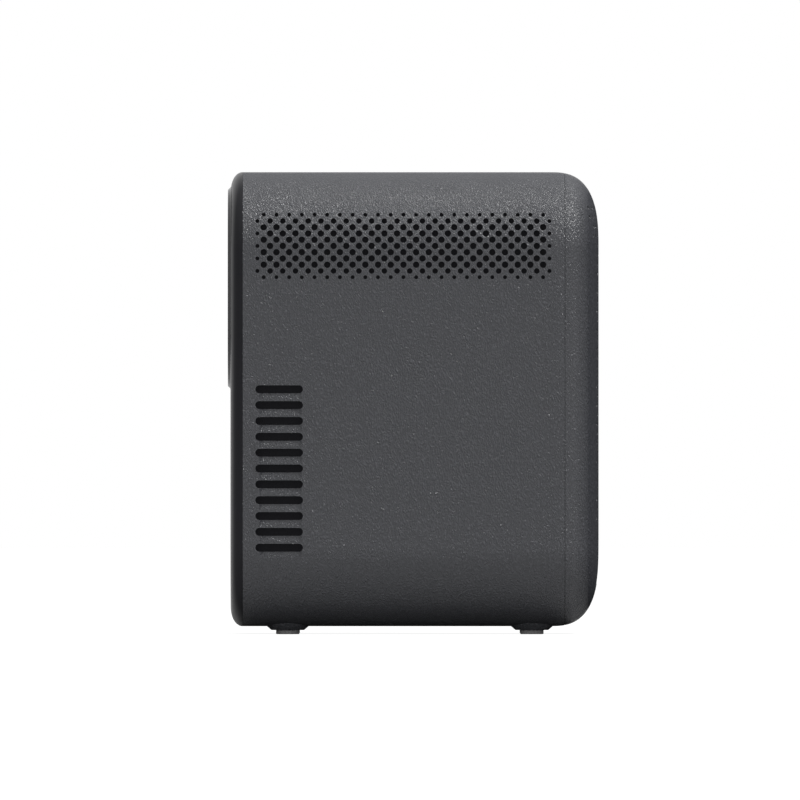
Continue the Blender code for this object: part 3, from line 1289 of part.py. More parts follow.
def blower_lid(material):
    bm = blower_outline(bmesh.new(), 0, BLOWER_REAR_Y - BLOWER_WALL, BLOWER_REAR_Y)
    obj = piece("blower_lid", bm, material)
    inlet = rod(bmesh.new(), (BLOWER_X, BLOWER_REAR_Y - BLOWER_WALL - CUT_OVERRUN, BLOWER_Z),
                BLOWER_WALL + 2 * CUT_OVERRUN, BLOWER_INLET_RADIUS, axis=1)
    cut(obj, inlet, "inlet")
    return obj


def blower_rotor(material):
    """Hub, disc and a ring of leaning blades."""
    front_y = BLOWER_FRONT_Y + BLOWER_WALL + ROTOR_GAP
    rear_y = BLOWER_REAR_Y - BLOWER_WALL - SEAT_GAP - ROTOR_GAP
    length = rear_y - front_y
    obj = piece("blower_rotor", rod(bmesh.new(), (0, 0, 0), ROTOR_DISC, ROTOR_RADIUS, axis=1),
                material)
    obj.location = (BLOWER_X, front_y, BLOWER_Z)
    join(obj, rod(bmesh.new(), (BLOWER_X, front_y, BLOWER_Z), length, ROTOR_HUB_RADIUS, axis=1,
                  sides=SMALL_SIDES), "hub")
    blades = bmesh.new()
    reach = ROTOR_RADIUS - BLADE_LENGTH / 2 * math.cos(BLADE_LEAN) - BLADE_THICKNESS
    for number in range(ROTOR_BLADES):
        single = block(bmesh.new(), (-BLADE_LENGTH / 2, ROTOR_DISC / 2, -BLADE_THICKNESS / 2),
                       (BLADE_LENGTH / 2, length, BLADE_THICKNESS / 2))
        place = (
            Matrix.Translation((BLOWER_X, front_y, BLOWER_Z))
            @ Matrix.Rotation(2 * math.pi * number / ROTOR_BLADES, 4, "Y")
            @ Matrix.Translation((reach, 0, 0))
            @ Matrix.Rotation(BLADE_LEAN, 4, "Y")
        )
        bmesh.ops.transform(single, matrix=place, verts=single.verts)
        scrap = bpy.data.meshes.new("blade")
        single.to_mesh(scrap)
        single.free()
        blades.from_mesh(scrap)
        bpy.data.meshes.remove(scrap)
    join(obj, blades, "blades")
    bore = rod(bmesh.new(), (BLOWER_X, front_y - CUT_OVERRUN, BLOWER_Z),
               CUT_OVERRUN + BLOWER_PIN_LENGTH, BLOWER_PIN_RADIUS + SEAT_GAP, axis=1,
               sides=SMALL_SIDES)
    cut(obj, bore, "bore")
    return obj


def fin_stack(material):
    """Thin fins across the air's way, closed front and back."""
    low = (FIN_INNER_X, BLOWER_FRONT_Y, FIN_LOW_Z)
    high = (FIN_OUTER_X, BLOWER_REAR_Y, FIN_TOP_Z)
    obj = piece("fin_stack", block(bmesh.new(), low, high), material)
    pitch = (FIN_TOP_Z - FIN_LOW_Z - FIN_THICKNESS) / FIN_COUNT
    air = bmesh.new()
    for number in range(FIN_COUNT):
        gap_low = FIN_LOW_Z + FIN_THICKNESS + number * pitch
        block(air, (FIN_INNER_X - CUT_OVERRUN, BLOWER_FRONT_Y + FIN_SKIN, gap_low),
              (FIN_OUTER_X + CUT_OVERRUN, BLOWER_REAR_Y - FIN_SKIN, gap_low + pitch - FIN_THICKNESS))
    cut(obj, air, "air_ways")
    return obj


def rounded_route(corners, bend, steps):
    """The corners of a route, with each inner one replaced by points round a smooth bend."""
    points = [Vector(corners[0])]
    for before, corner, after in zip(corners, corners[1:], corners[2:]):
        corner = Vector(corner)
        start = corner + (Vector(before) - corner).normalized() * bend
        end = corner + (Vector(after) - corner).normalized() * bend
        for step in range(steps + 1):
            share = step / steps
            points.append(start.lerp(corner, share).lerp(corner.lerp(end, share), share))
    points.append(Vector(corners[-1]))
    return points


def heat_pipes(material):
    """Two copper pipes from under the spreader, forwards and then up the back of the fins."""
    rise_y = BLOWER_REAR_Y + SEAT_GAP + PIPE_RADIUS
    for number, side in (("1", -1), ("2", 1)):
        start_x = side * PIPE_SPACING / 2
        rise_x = (FIN_INNER_X + FIN_OUTER_X) / 2 + side * PIPE_SPACING / 2
        corners = [
            (start_x, PIPE_START_Y, PIPE_Z),
            (start_x, PIPE_TURN_Y, PIPE_Z),
            (rise_x, rise_y, PIPE_Z),
            (rise_x, rise_y, FIN_TOP_Z - PIPE_TOP_MARGIN),
        ]
        curve = bpy.data.curves.new(f"heat_pipe_{number}", "CURVE")
        curve.dimensions = "3D"
        curve.bevel_depth = PIPE_RADIUS
        curve.bevel_resolution = 2
        curve.use_fill_caps = True
        route = rounded_route(corners, PIPE_BEND, PIPE_BEND_STEPS)
        spline = curve.splines.new("POLY")
        spline.points.add(len(route) - 1)
        for point, place in zip(spline.points, route):
            point.co = (*place, 1)
        curve.materials.append(material)
        parts.objects.link(bpy.data.objects.new(f"heat_pipe_{number}", curve))


def speakers(box_material, cone_material):
    """A sealed box behind each grille with a round driver in its outer face."""
    for name, side in (("left", -1), ("right", 1)):
        low_x, high_x = sorted((side * SPEAKER_INNER_X, side * SPEAKER_OUTER_X))
        box = piece(f"speaker_box_{name}", block(
            bmesh.new(),
            (low_x, SPEAKER_FRONT_Y, GRILLE_MID_Z - SPEAKER_HEIGHT / 2),
            (high_x, SPEAKER_REAR_Y, GRILLE_MID_Z + SPEAKER_HEIGHT / 2),
            SPEAKER_EDGE, 0, EDGE_SEGMENTS), box_material)
        room = body_outline(bmesh.new(), WALL + SEAT_GAP, SHELL_FRONT_Y, SHELL_REAR_Y)
        trim(box, room, "room")
        driver_x = SPEAKER_OUTER_X - DRIVER_RECESS
        pocket_x = driver_x - DRIVER_DEPTH - SEAT_GAP
        start_x = min(side * pocket_x, side * (SPEAKER_OUTER_X + CUT_OVERRUN))
        pocket = rod(bmesh.new(), (start_x, SPEAKER_MID_Y, GRILLE_MID_Z),
                     SPEAKER_OUTER_X + CUT_OVERRUN - pocket_x, DRIVER_RADIUS + SEAT_GAP, axis=0)
        cut(box, pocket, "pocket")
        rim = DRIVER_RADIUS - DRIVER_RIM
        profile = [
            (0, DRIVER_DEPTH - DRIVER_CONE_DEPTH + DRIVER_RIM_DEPTH),
            (DRIVER_DOME_RADIUS, DRIVER_DEPTH - DRIVER_CONE_DEPTH),
            (rim, DRIVER_DEPTH - DRIVER_RIM_DEPTH),
            (rim, DRIVER_DEPTH),
            (DRIVER_RADIUS, DRIVER_DEPTH),
            (DRIVER_RADIUS, 0),
            (0, 0),
        ]
        driver = turned(f"speaker_driver_{name}", profile, (0, 0, 0), 2, cone_material)
        facing = Matrix.Rotation(math.radians(90 * side), 4, "Y")
        place = (side * (pocket_x + SEAT_GAP), SPEAKER_MID_Y, GRILLE_MID_Z)
        driver.matrix_world = Matrix.Translation(place) @ facing


def main_board(material):
    half = MAIN_BOARD_WIDTH / 2
    bm = block(bmesh.new(), (-half, MAIN_BOARD_FRONT_Y, MAIN_BOARD_BOTTOM_Z),
               (half, MAIN_BOARD_REAR_Y, MAIN_BOARD_BOTTOM_Z + MAIN_BOARD_HEIGHT))
    return piece("main_board", bm, material)


def board_cooler(material):
    """A finned block on the processor."""
    front_y = MAIN_BOARD_REAR_Y + SEAT_GAP
    low_z = MAIN_BOARD_BOTTOM_Z + COOLER_RISE - COOLER_HEIGHT / 2
    low_x = -COOLER_SIDE - COOLER_WIDTH / 2
    obj = piece("board_cooler", block(bmesh.new(), (low_x, front_y, low_z),
                                      (low_x + COOLER_WIDTH, front_y + COOLER_DEPTH,
                                       low_z + COOLER_HEIGHT)), material)
    pitch = (COOLER_WIDTH - COOLER_FIN) / (COOLER_FINS - 1)
    air = bmesh.new()
    for number in range(COOLER_FINS - 1):
        gap_x = low_x + COOLER_FIN + number * pitch
        block(air, (gap_x, front_y + COOLER_BASE, low_z - CUT_OVERRUN),
              (gap_x + pitch - COOLER_FIN, front_y + COOLER_DEPTH + CUT_OVERRUN,
               low_z + COOLER_HEIGHT + CUT_OVERRUN))
    cut(obj, air, "air_ways")
    return obj


def dust_filter(material):
    rear_y = REAR_FACE_Y - WALL - SEAT_GAP - LIP_WALL - FILTER_CLEAR
    bm = block(bmesh.new(), (-FILTER_HALF_WIDTH, rear_y - FILTER_THICKNESS, FILTER_LOW_Z),
               (FILTER_HALF_WIDTH, rear_y, FILTER_TOP_Z), FILTER_RADIUS, 1, EDGE_SEGMENTS)
    return piece("dust_filter", bm, material)


def build():
    shell_grey = finish("grained_shell", (0.075, 0.078, 0.085), 0.55)
    cover_black = finish("front_black", (0.020, 0.020, 0.022), 0.42)
    gloss_black = finish("gloss_black", (0.010, 0.010, 0.012), 0.12)
    inner_black = finish("inner_black", (0.018, 0.018, 0.019), 0.60)
    glass = finish("coated_glass", (0.55, 0.60, 0.68), 0.03)
    rubber = finish("foot_rubber", (0.015, 0.015, 0.015), 0.80)
    brass = finish("nut_brass", (0.70, 0.52, 0.25), 0.30, 1.0)
    steel = finish("plain_steel", (0.55, 0.55, 0.56), 0.35, 1.0)
    aluminium = finish("fin_aluminium", (0.75, 0.76, 0.78), 0.35, 1.0)
    copper = finish("pipe_copper", (0.72, 0.38, 0.24), 0.28, 1.0)
    board_green = finish("board_green", (0.02, 0.12, 0.06), 0.50)
    mirror = finish("mirror_face", (0.90, 0.91, 0.93), 0.02, 1.0)
    gear_white = finish("gear_resin", (0.75, 0.74, 0.70), 0.45)
    cone_black = finish("cone_paper", (0.03, 0.03, 0.03), 0.85)
    filter_grey = finish("filter_foam", (0.05, 0.05, 0.05), 0.95)

    main_shell(shell_grey)
    front_cover(cover_black)
    window_bezel(gloss_black)
    lens_window(glass)
    camera_window(glass)
    lens_hood(inner_black)
    rear_cover(shell_grey)
    port_panel(cover_black)
    sockets(steel, inner_black)
    feet(rubber)
    tripod_nut(brass)
    power_button(shell_grey)
    button_board(board_green)
    base_chassis(steel)
    chassis_screws(steel)
    light_source(copper, board_green)
    engine_lower(inner_black)
    condenser_lens(glass)
    tunnel_plates(glass, gloss_black)
    engine_upper(inner_black)
    fold_mirror(mirror)
    lens_mount(inner_black)
    focus_ring(gear_white)
    motor_pinion(brass)
    focus_motor(steel)
    lens_barrel(inner_black)
    lens_elements(glass)
    blower_frame(inner_black)
    blower_lid(inner_black)
    blower_rotor(inner_black)
    fin_stack(aluminium)
    heat_pipes(copper)
    speakers(inner_black, cone_black)
    main_board(board_green)
    board_cooler(aluminium)
    dust_filter(filter_grey)


build()
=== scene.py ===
import json
import math

import bmesh
import bpy
from mathutils import Matrix, Vector


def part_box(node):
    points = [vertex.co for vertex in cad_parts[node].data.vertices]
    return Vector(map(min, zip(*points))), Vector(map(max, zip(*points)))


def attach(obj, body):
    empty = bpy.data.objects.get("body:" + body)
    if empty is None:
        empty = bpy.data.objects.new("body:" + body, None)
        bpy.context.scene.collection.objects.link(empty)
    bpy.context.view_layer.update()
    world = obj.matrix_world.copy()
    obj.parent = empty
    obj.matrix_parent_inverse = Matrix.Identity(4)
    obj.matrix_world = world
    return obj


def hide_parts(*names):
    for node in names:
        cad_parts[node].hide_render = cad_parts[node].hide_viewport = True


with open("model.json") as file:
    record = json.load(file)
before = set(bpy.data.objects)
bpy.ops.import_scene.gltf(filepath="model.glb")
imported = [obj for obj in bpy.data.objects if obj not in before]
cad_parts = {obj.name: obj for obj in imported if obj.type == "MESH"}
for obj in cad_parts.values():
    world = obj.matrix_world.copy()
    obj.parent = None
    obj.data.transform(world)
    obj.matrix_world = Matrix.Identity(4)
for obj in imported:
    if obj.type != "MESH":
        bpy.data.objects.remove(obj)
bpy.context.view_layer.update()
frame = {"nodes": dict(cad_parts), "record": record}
nodes = frame["nodes"]
print("frame loaded:", len(nodes), "nodes")

# the body's own places, in metres, as the frame has them
body = {
    "halfWidth": 0.060, "baseZ": 0.0032, "topZ": 0.187, "corner": 0.032, "wall": 0.0024,
    "shellFront": -0.0689, "shellRear": 0.0612, "lensZ": 0.1401, "cornerSteps": 28,
}


# mesh helpers

def boxAt(bm, low, high):
    made = bmesh.ops.create_cube(bm, size=1)["verts"]
    span = [b - a for a, b in zip(low, high)]
    bmesh.ops.scale(bm, vec=span, verts=made)
    bmesh.ops.translate(bm, vec=[(a + b) / 2 for a, b in zip(low, high)], verts=made)
    return made


def roundedBox(bm, low, high, radius, axis, steps):
    made = boxAt(bm, low, high)
    along = [
        e for e in {e for v in made for e in v.link_edges}
        if all(abs(e.verts[0].co[i] - e.verts[1].co[i]) < 1e-7 for i in range(3) if i != axis)
    ]
    bmesh.ops.bevel(
        bm, geom=along, offset=radius, segments=steps, profile=0.5, affect="EDGES", material=-1,
    )
    return bm


def softBox(low, high, edge):
    bm = bmesh.new()
    boxAt(bm, low, high)
    bmesh.ops.bevel(bm, geom=bm.edges[:], offset=edge, segments=2, profile=0.5, affect="EDGES", material=-1)
    return bm


def bodySlice(inset, frontY, rearY):
    half = body["halfWidth"] - inset
    return roundedBox(
        bmesh.new(), (-half, frontY, body["baseZ"] + inset), (half, rearY, body["topZ"] - inset),
        body["corner"] - inset, 1, body["cornerSteps"],
    )


# turns that bring +Z onto each axis
ontoAxis = {0: Matrix.Rotation(math.pi / 2, 4, "Y"), 1: Matrix.Rotation(-math.pi / 2, 4, "X"), 2: Matrix()}


def disc(bm, centre, length, radius, axis, sides):
    made = bmesh.ops.create_cone(
        bm, cap_ends=True, segments=sides, radius1=radius, radius2=radius, depth=length,
    )["verts"]
    shift = Vector((0, 0, 0))
    shift[axis] = length / 2
    bmesh.ops.transform(bm, matrix=Matrix.Translation(Vector(centre) + shift) @ ontoAxis[axis], verts=made)


def spun(profile, centre, axis, sides):
    # profile points are (radius, height); a closed outline turned a full circle
    bm = bmesh.new()
    verts = [bm.verts.new((r, 0, h)) for r, h in profile]
    edges = [bm.edges.new(pair) for pair in zip(verts, verts[1:])]
    if profile[0][0] > 0 or profile[-1][0] > 0:
        edges.append(bm.edges.new((verts[-1], verts[0])))
    bmesh.ops.spin(
        bm, geom=verts + edges, cent=(0, 0, 0), axis=(0, 0, 1), angle=2 * math.pi,
        steps=sides, use_merge=True,
    )
    bmesh.ops.remove_doubles(bm, verts=bm.verts, dist=1e-6)
    bmesh.ops.recalc_face_normals(bm, faces=bm.faces)
    bmesh.ops.transform(bm, matrix=Matrix.Translation(centre) @ ontoAxis[axis], verts=bm.verts)
    return bm


def faceToward(bm, axis, value):
    for face in bm.faces:
        if all(abs(v.co[axis] - value) < 1e-6 for v in face.verts):
            return face


def stepIn(bm, face, steps):
    # each step is (inset so far, depth so far), taken outwards from the face
    doneInset, doneDepth = 0, 0
    for inset, depth in steps:
        bmesh.ops.inset_region(
            bm, faces=[face], thickness=inset - doneInset, depth=depth - doneDepth,
            use_even_offset=True,
        )
        doneInset, doneDepth = inset, depth


def objectFrom(name, bm):
    mesh = bpy.data.meshes.new(name)
    bm.to_mesh(mesh)
    bm.free()
    obj = bpy.data.objects.new(name, mesh)
    bpy.context.collection.objects.link(obj)
    return obj


def combine(obj, bm, operation="DIFFERENCE"):
    bmesh.ops.recalc_face_normals(bm, faces=bm.faces)
    tool = objectFrom(obj.name + "Tool", bm)
    mod = obj.modifiers.new("shape", "BOOLEAN")
    mod.operation, mod.solver, mod.object = operation, "MANIFOLD", tool
    shaped = bpy.data.meshes.new_from_object(obj.evaluated_get(bpy.context.evaluated_depsgraph_get()))
    obj.modifiers.remove(mod)
    old, obj.data = obj.data, shaped
    shaped.name = obj.name
    bpy.data.meshes.remove(old)
    bpy.data.meshes.remove(tool.data)
    return obj


sharpAngle = math.radians(32)


def dress(obj, material, bodyName, *replaced, weighted=False):
    obj.data.materials.clear()
    obj.data.materials.append(material)
    obj.data.polygons.foreach_set("use_smooth", [True] * len(obj.data.polygons))
    obj.data.set_sharp_from_angle(angle=sharpAngle)
    if weighted:
        mod = obj.modifiers.new("evenNormals", "WEIGHTED_NORMAL")
        mod.keep_sharp = True
    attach(obj, bodyName)
    if replaced:
        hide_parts(*replaced)
    return obj


# materials

def startMaterial(name, colour, roughness, metallic=0.0, specular=0.5):
    mat = bpy.data.materials.new(name)
    mat.use_nodes = True
    tree = mat.node_tree
    shader = tree.nodes["Principled BSDF"]
    shader.inputs["Base Color"].default_value = (*colour, 1)
    shader.inputs["Roughness"].default_value = roughness
    shader.inputs["Metallic"].default_value = metallic
    shader.inputs["Specular IOR Level"].default_value = specular
    coords = tree.nodes.new("ShaderNodeTexCoord")
    return mat, tree, shader, coords.outputs["Object"]


def noiseOn(tree, coords, scale, detail=3.0, rough=0.55):
    noise = tree.nodes.new("ShaderNodeTexNoise")
    noise.inputs["Scale"].default_value = scale
    noise.inputs["Detail"].default_value = detail
    noise.inputs["Roughness"].default_value = rough
    tree.links.new(coords, noise.inputs["Vector"])
    return noise.outputs["Fac"]


def mapTo(tree, value, low, high, fromLow=0.0, fromHigh=1.0):
    node = tree.nodes.new("ShaderNodeMapRange")
    node.inputs["From Min"].default_value = fromLow
    node.inputs["From Max"].default_value = fromHigh
    node.inputs["To Min"].default_value = low
    node.inputs["To Max"].default_value = high
    tree.links.new(value, node.inputs["Value"])
    return node.outputs["Result"]


def mixColours(tree, factor, first, second):
    node = tree.nodes.new("ShaderNodeMix")
    node.data_type = "RGBA"
    node.inputs["A"].default_value = (*first, 1)
    node.inputs["B"].default_value = (*second, 1)
    tree.links.new(factor, node.inputs["Factor"])
    return node.outputs["Result"]


def addBump(tree, shader, height, strength, distance, before=None):
    bump = tree.nodes.new("ShaderNodeBump")
    bump.inputs["Strength"].default_value = strength
    bump.inputs["Distance"].default_value = distance
    tree.links.new(height, bump.inputs["Height"])
    if before is not None:
        tree.links.new(before, bump.inputs["Normal"])
    tree.links.new(bump.outputs["Normal"], shader.inputs["Normal"])
    return bump.outputs["Normal"]


def maths(tree, kind, first, second):
    node = tree.nodes.new("ShaderNodeMath")
    node.operation = kind
    for socket, value in zip(node.inputs, (first, second)):
        if isinstance(value, (int, float)):
            socket.default_value = value
        else:
            tree.links.new(value, socket)
    return node.outputs[0]


def creases(tree, coords, turn, scale):
    # thin bent creases that run along one slant
    place = tree.nodes.new("ShaderNodeMapping")
    place.inputs["Rotation"].default_value = (turn, 0.25, 0.15)
    place.inputs["Scale"].default_value = (1, 1, 0.55)
    tree.links.new(coords, place.inputs["Vector"])
    level = maths(tree, "SUBTRACT", noiseOn(tree, place.outputs["Vector"], scale, 1.0), 0.5)
    return maths(tree, "ABSOLUTE", level, 0)


def grainedPlastic():
    # moulded leather grain: two sets of creases that cross on the slant. It hides some of the
    # shine where the wall turns away from the eye, and most of it toward the rear, which is painted shade for a dark
    # room behind.
    look = {"light": (0.042, 0.043, 0.048), "creaseShade": (0.025, 0.026, 0.029), "scale": (1150, 1000),
            "slant": (0.85, -0.8), "depth": 0.00085, "roughness": (0.32, 0.40), "shine": (0.39, 0.035), "fade": (0.28, 0.75)}
    mat, tree, shader, coords = startMaterial("grainedPlastic", look["light"], 0.3)
    first, second = (creases(tree, coords, *pair) for pair in zip(look["slant"], look["scale"]))
    height = maths(tree, "ADD", first, second)
    # painted shade: the colour goes darker down in the creases, where shade falls
    shade = mapTo(tree, height, 0, 1, 0, 0.35)
    tree.links.new(mixColours(tree, shade, look["creaseShade"], look["light"]), shader.inputs["Base Color"])
    tree.links.new(mapTo(tree, height, *look["roughness"], 0, 0.35), shader.inputs["Roughness"])
    turned = tree.nodes.new("ShaderNodeLayerWeight")
    turned.inputs["Blend"].default_value = 0.5
    normal = tree.nodes.new("ShaderNodeSeparateXYZ")
    tree.links.new(coords.node.outputs["Normal"], normal.inputs[0])
    # painted shade: the reflection falls away on walls that face the rear
    shine = maths(tree, "MULTIPLY", mapTo(tree, turned.outputs["Facing"], *look["shine"], *look["fade"]),
                  mapTo(tree, normal.outputs["Y"], 1, 0, 0.45, 0.85))
    tree.links.new(shine, shader.inputs["Specular IOR Level"])
    addBump(tree, shader, height, 1.0, look["depth"])
    bump = shader.inputs["Normal"].links[0].from_node
    tree.links.new(mapTo(tree, turned.outputs["Facing"], 1, 0.35, 0.4, 0.7), bump.inputs["Strength"])
    return mat


def satinPlastic(name, colour, roughness, specular=0.5, grain=0.00002, rim=None):
    mat, tree, shader, coords = startMaterial(name, colour, roughness, specular=specular)
    if rim is not None:
        # painted highlight: the shine climbs where the face turns away from the eye, brightening the edges
        turned = tree.nodes.new("ShaderNodeLayerWeight")
        turned.inputs["Blend"].default_value = 0.5
        shine = mapTo(tree, turned.outputs["Facing"], specular, rim, 0.4, 0.9)
        tree.links.new(shine, shader.inputs["Specular IOR Level"])
    fine = noiseOn(tree, coords, 2600, 2.0)
    broad = noiseOn(tree, coords, 60, 2.0)
    brighter = [c * 1.12 for c in colour]
    tree.links.new(mixColours(tree, broad, colour, brighter), shader.inputs["Base Color"])
    tree.links.new(mapTo(tree, broad, roughness - 0.04, roughness + 0.05), shader.inputs["Roughness"])
    addBump(tree, shader, fine, 0.35, grain)
    return mat


def coatedGlass(name, tint, coat):
    # the coating takes away most of the reflection, and tints what is left
    mat, tree, shader, coords = startMaterial(name, tint, 0.03)
    shader.inputs["Transmission Weight"].default_value = 1.0
    shader.inputs["IOR"].default_value = 1.5
    shader.inputs["Specular Tint"].default_value = (*coat, 1)
    dust = noiseOn(tree, coords, 240, 4.0)
    tree.links.new(mapTo(tree, dust, 0.01, 0.05, 0.45, 0.75), shader.inputs["Roughness"])
    return mat


def bareMetal(name, colour, roughness, stretch=(1, 1, 30), scale=300):
    # rolled or drawn metal: fine lines along one direction
    mat, tree, shader, coords = startMaterial(name, colour, roughness, metallic=1.0)
    place = tree.nodes.new("ShaderNodeMapping")
    place.inputs["Scale"].default_value = stretch
    tree.links.new(coords, place.inputs["Vector"])
    lines = noiseOn(tree, place.outputs["Vector"], scale, 4.0, 0.6)
    stains = noiseOn(tree, coords, 90, 3.0)
    darker = [c * 0.82 for c in colour]
    tree.links.new(mixColours(tree, stains, darker, colour), shader.inputs["Base Color"])
    tree.links.new(mapTo(tree, lines, roughness - 0.08, roughness + 0.1), shader.inputs["Roughness"])
    addBump(tree, shader, lines, 0.2, 0.00003)
    return mat


def boardMask():
    # solder mask over copper tracks, which show as slightly lighter bands
    look = {"mask": (0.010, 0.075, 0.035), "track": (0.016, 0.11, 0.05), "pitch": 420}
    mat, tree, shader, coords = startMaterial("boardMask", look["mask"], 0.32)
    tracks = tree.nodes.new("ShaderNodeTexBrick")
    tracks.inputs["Scale"].default_value = look["pitch"]
    tracks.inputs["Mortar Size"].default_value = 0.12
    tracks.inputs["Color1"].default_value = (*look["mask"], 1)
    tracks.inputs["Color2"].default_value = (*[c * 0.85 for c in look["mask"]], 1)
    tracks.inputs["Mortar"].default_value = (*look["track"], 1)
    turn = tree.nodes.new("ShaderNodeMapping")
    turn.inputs["Rotation"].default_value = (math.pi / 2, 0, 0)
    tree.links.new(coords, turn.inputs["Vector"])
    tree.links.new(turn.outputs["Vector"], tracks.inputs["Vector"])
    tree.links.new(tracks.outputs["Color"], shader.inputs["Base Color"])
    addBump(tree, shader, tracks.outputs["Fac"], 0.3, 0.00003)
    return mat


def softMatter(name, colour, roughness, scale, depth, strength=0.8, specular=0.3):
    # rubber, paper cone and foam differ in the size and depth of their grain
    mat, tree, shader, coords = startMaterial(name, colour, roughness, specular=specular)
    grain = noiseOn(tree, coords, scale, 5.0, 0.65)
    lighter = [c * 1.7 for c in colour]
    shade = mapTo(tree, grain, 0, 1, 0.35, 0.65)
    tree.links.new(mixColours(tree, shade, colour, lighter), shader.inputs["Base Color"])
    tree.links.new(mapTo(tree, grain, roughness - 0.08, min(1, roughness + 0.08)), shader.inputs["Roughness"])
    addBump(tree, shader, grain, strength, depth)
    return mat


materials = {
    "grained_shell": grainedPlastic(),
    # the rim level paints a highlight along the cover's curved edge
    "front_black": satinPlastic("frontBlack", (0.0090, 0.0090, 0.0105), 0.36, 0.08, rim=0.36),
    "gloss_black": satinPlastic("bezelBlack", (0.009, 0.009, 0.010), 0.24, 0.45, 0.000006),
    "screen_black": softMatter("screenBlack", (0.0068, 0.0068, 0.0078), 0.9, 2400, 0.00008, specular=0.1),
    "inner_black": satinPlastic("innerBlack", (0.016, 0.016, 0.017), 0.62, 0.35, 0.00005),
    "coated_glass": coatedGlass("coatedGlass", (0.90, 0.92, 0.95), (0.20, 0.17, 0.42)),
    "foot_rubber": softMatter("footRubber", (0.105, 0.103, 0.105), 0.75, 1500, 0.00006),
    "nut_brass": bareMetal("machinedBrass", (0.72, 0.52, 0.24), 0.28, (1, 1, 8), 900),
    "plain_steel": bareMetal("zincSteel", (0.55, 0.56, 0.57), 0.34, (30, 1, 1)),
    "fin_aluminium": bareMetal("bareAluminium", (0.76, 0.77, 0.79), 0.36, (1, 1, 25)),
    "pipe_copper": bareMetal("bareCopper", (0.74, 0.38, 0.24), 0.30, (1, 1, 20)),
    "board_green": boardMask(),
    "mirror_face": bareMetal("mirrorFace", (0.92, 0.93, 0.95), 0.09, (1, 1, 1), 40),
    "gear_resin": satinPlastic("gearResin", (0.70, 0.69, 0.64), 0.45),
    "cone_paper": softMatter("conePaper", (0.020, 0.020, 0.020), 0.85, 900, 0.0002),
    "filter_foam": softMatter("filterFoam", (0.035, 0.035, 0.035), 0.95, 1100, 0.0006, 1.0),
    "lcd_face": coatedGlass("lcdFace", (0.05, 0.05, 0.06), (0.4, 0.4, 0.6)),
}
for entry in frame["record"]["subparts"]:
    mesh = nodes[entry["node"]].data
    mesh.materials.clear()
    mesh.materials.append(materials[entry["material_slot"]])
print("materials made:", len(materials))


# moulded shell with its dot grilles and louvres

shell = {
    "rows": 11, "rowPitch": 0.0025245, "holePitch": 0.00513, "holes": (23, 24), "gridY": -0.0040,
    "gridZ": 0.1570, "radius": 0.0013, "nearEdge": 0.00112, "edge": 0.0008, "holeSides": 18,
    "slots": 11, "slotLow": 0.0351, "slotPitch": 0.0064, "slotFront": -0.0638, "slotRear": -0.0446,
    "slotHeight": 0.0032, "rampDepth": 0.0012, "rampLength": 0.0027, "rampEnd": 0.0014,
    "dotStarts": (-0.065, 0.040), "dotDrill": 0.025, "slotX": (0.050, 0.065), "past": 0.01,
    "bossX": 0.028, "bossY": (-0.0508, 0.048),
    "bossSides": ((0.00166, 0.00665), (0.0032, 0.00845), (0.0056, 0.0094)),
    "boreLow": -0.002, "footPocket": 0.00505, "footDrill": 0.005, "nutHole": 0.0053, "nutDrill": 0.02,
    "buttonY": -0.035, "buttonHole": 0.0070, "buttonLow": 0.18, "buttonDrill": 0.012,
}


def grilleDots():
    last = shell["rows"] - 1
    for row in range(shell["rows"]):
        count = shell["holes"][row % 2]
        z = shell["gridZ"] + (last / 2 - row) * shell["rowPitch"]
        for column in range(count):
            y = shell["gridY"] + (column - (count - 1) / 2) * shell["holePitch"]
            radius = shell["radius"]
            if row in (1, last - 1):
                radius = shell["nearEdge"]
            if row in (0, last) or (row % 2 and column in (0, count - 1)):
                radius = shell["edge"]
            yield y, z, radius


def rounding(pull, depth, fullness, start, end, steps):
    # places of a soft edge as (inset, depth), between two depths of its curve
    first, last = (math.asin((d / depth) ** (fullness / 2)) for d in (start, end))
    for step in range(steps + 1):
        turn = first + (last - first) * step / steps
        yield pull * (1 - max(0.0, math.cos(turn)) ** (2 / fullness)), depth * math.sin(turn) ** (2 / fullness)


def drawIn(bm, axis, value, places):
    places = list(places)
    face = faceToward(bm, axis, value)
    for (inset, depth), (nextInset, nextDepth) in zip(places, places[1:]):
        bmesh.ops.inset_region(
            bm, faces=[face], thickness=nextInset - inset, depth=nextDepth - depth, use_even_offset=True,
        )
    return bm


rear = {"curveY": 0.0556, "depth": 0.0194, "inset": 0.030, "fullness": 2.7}


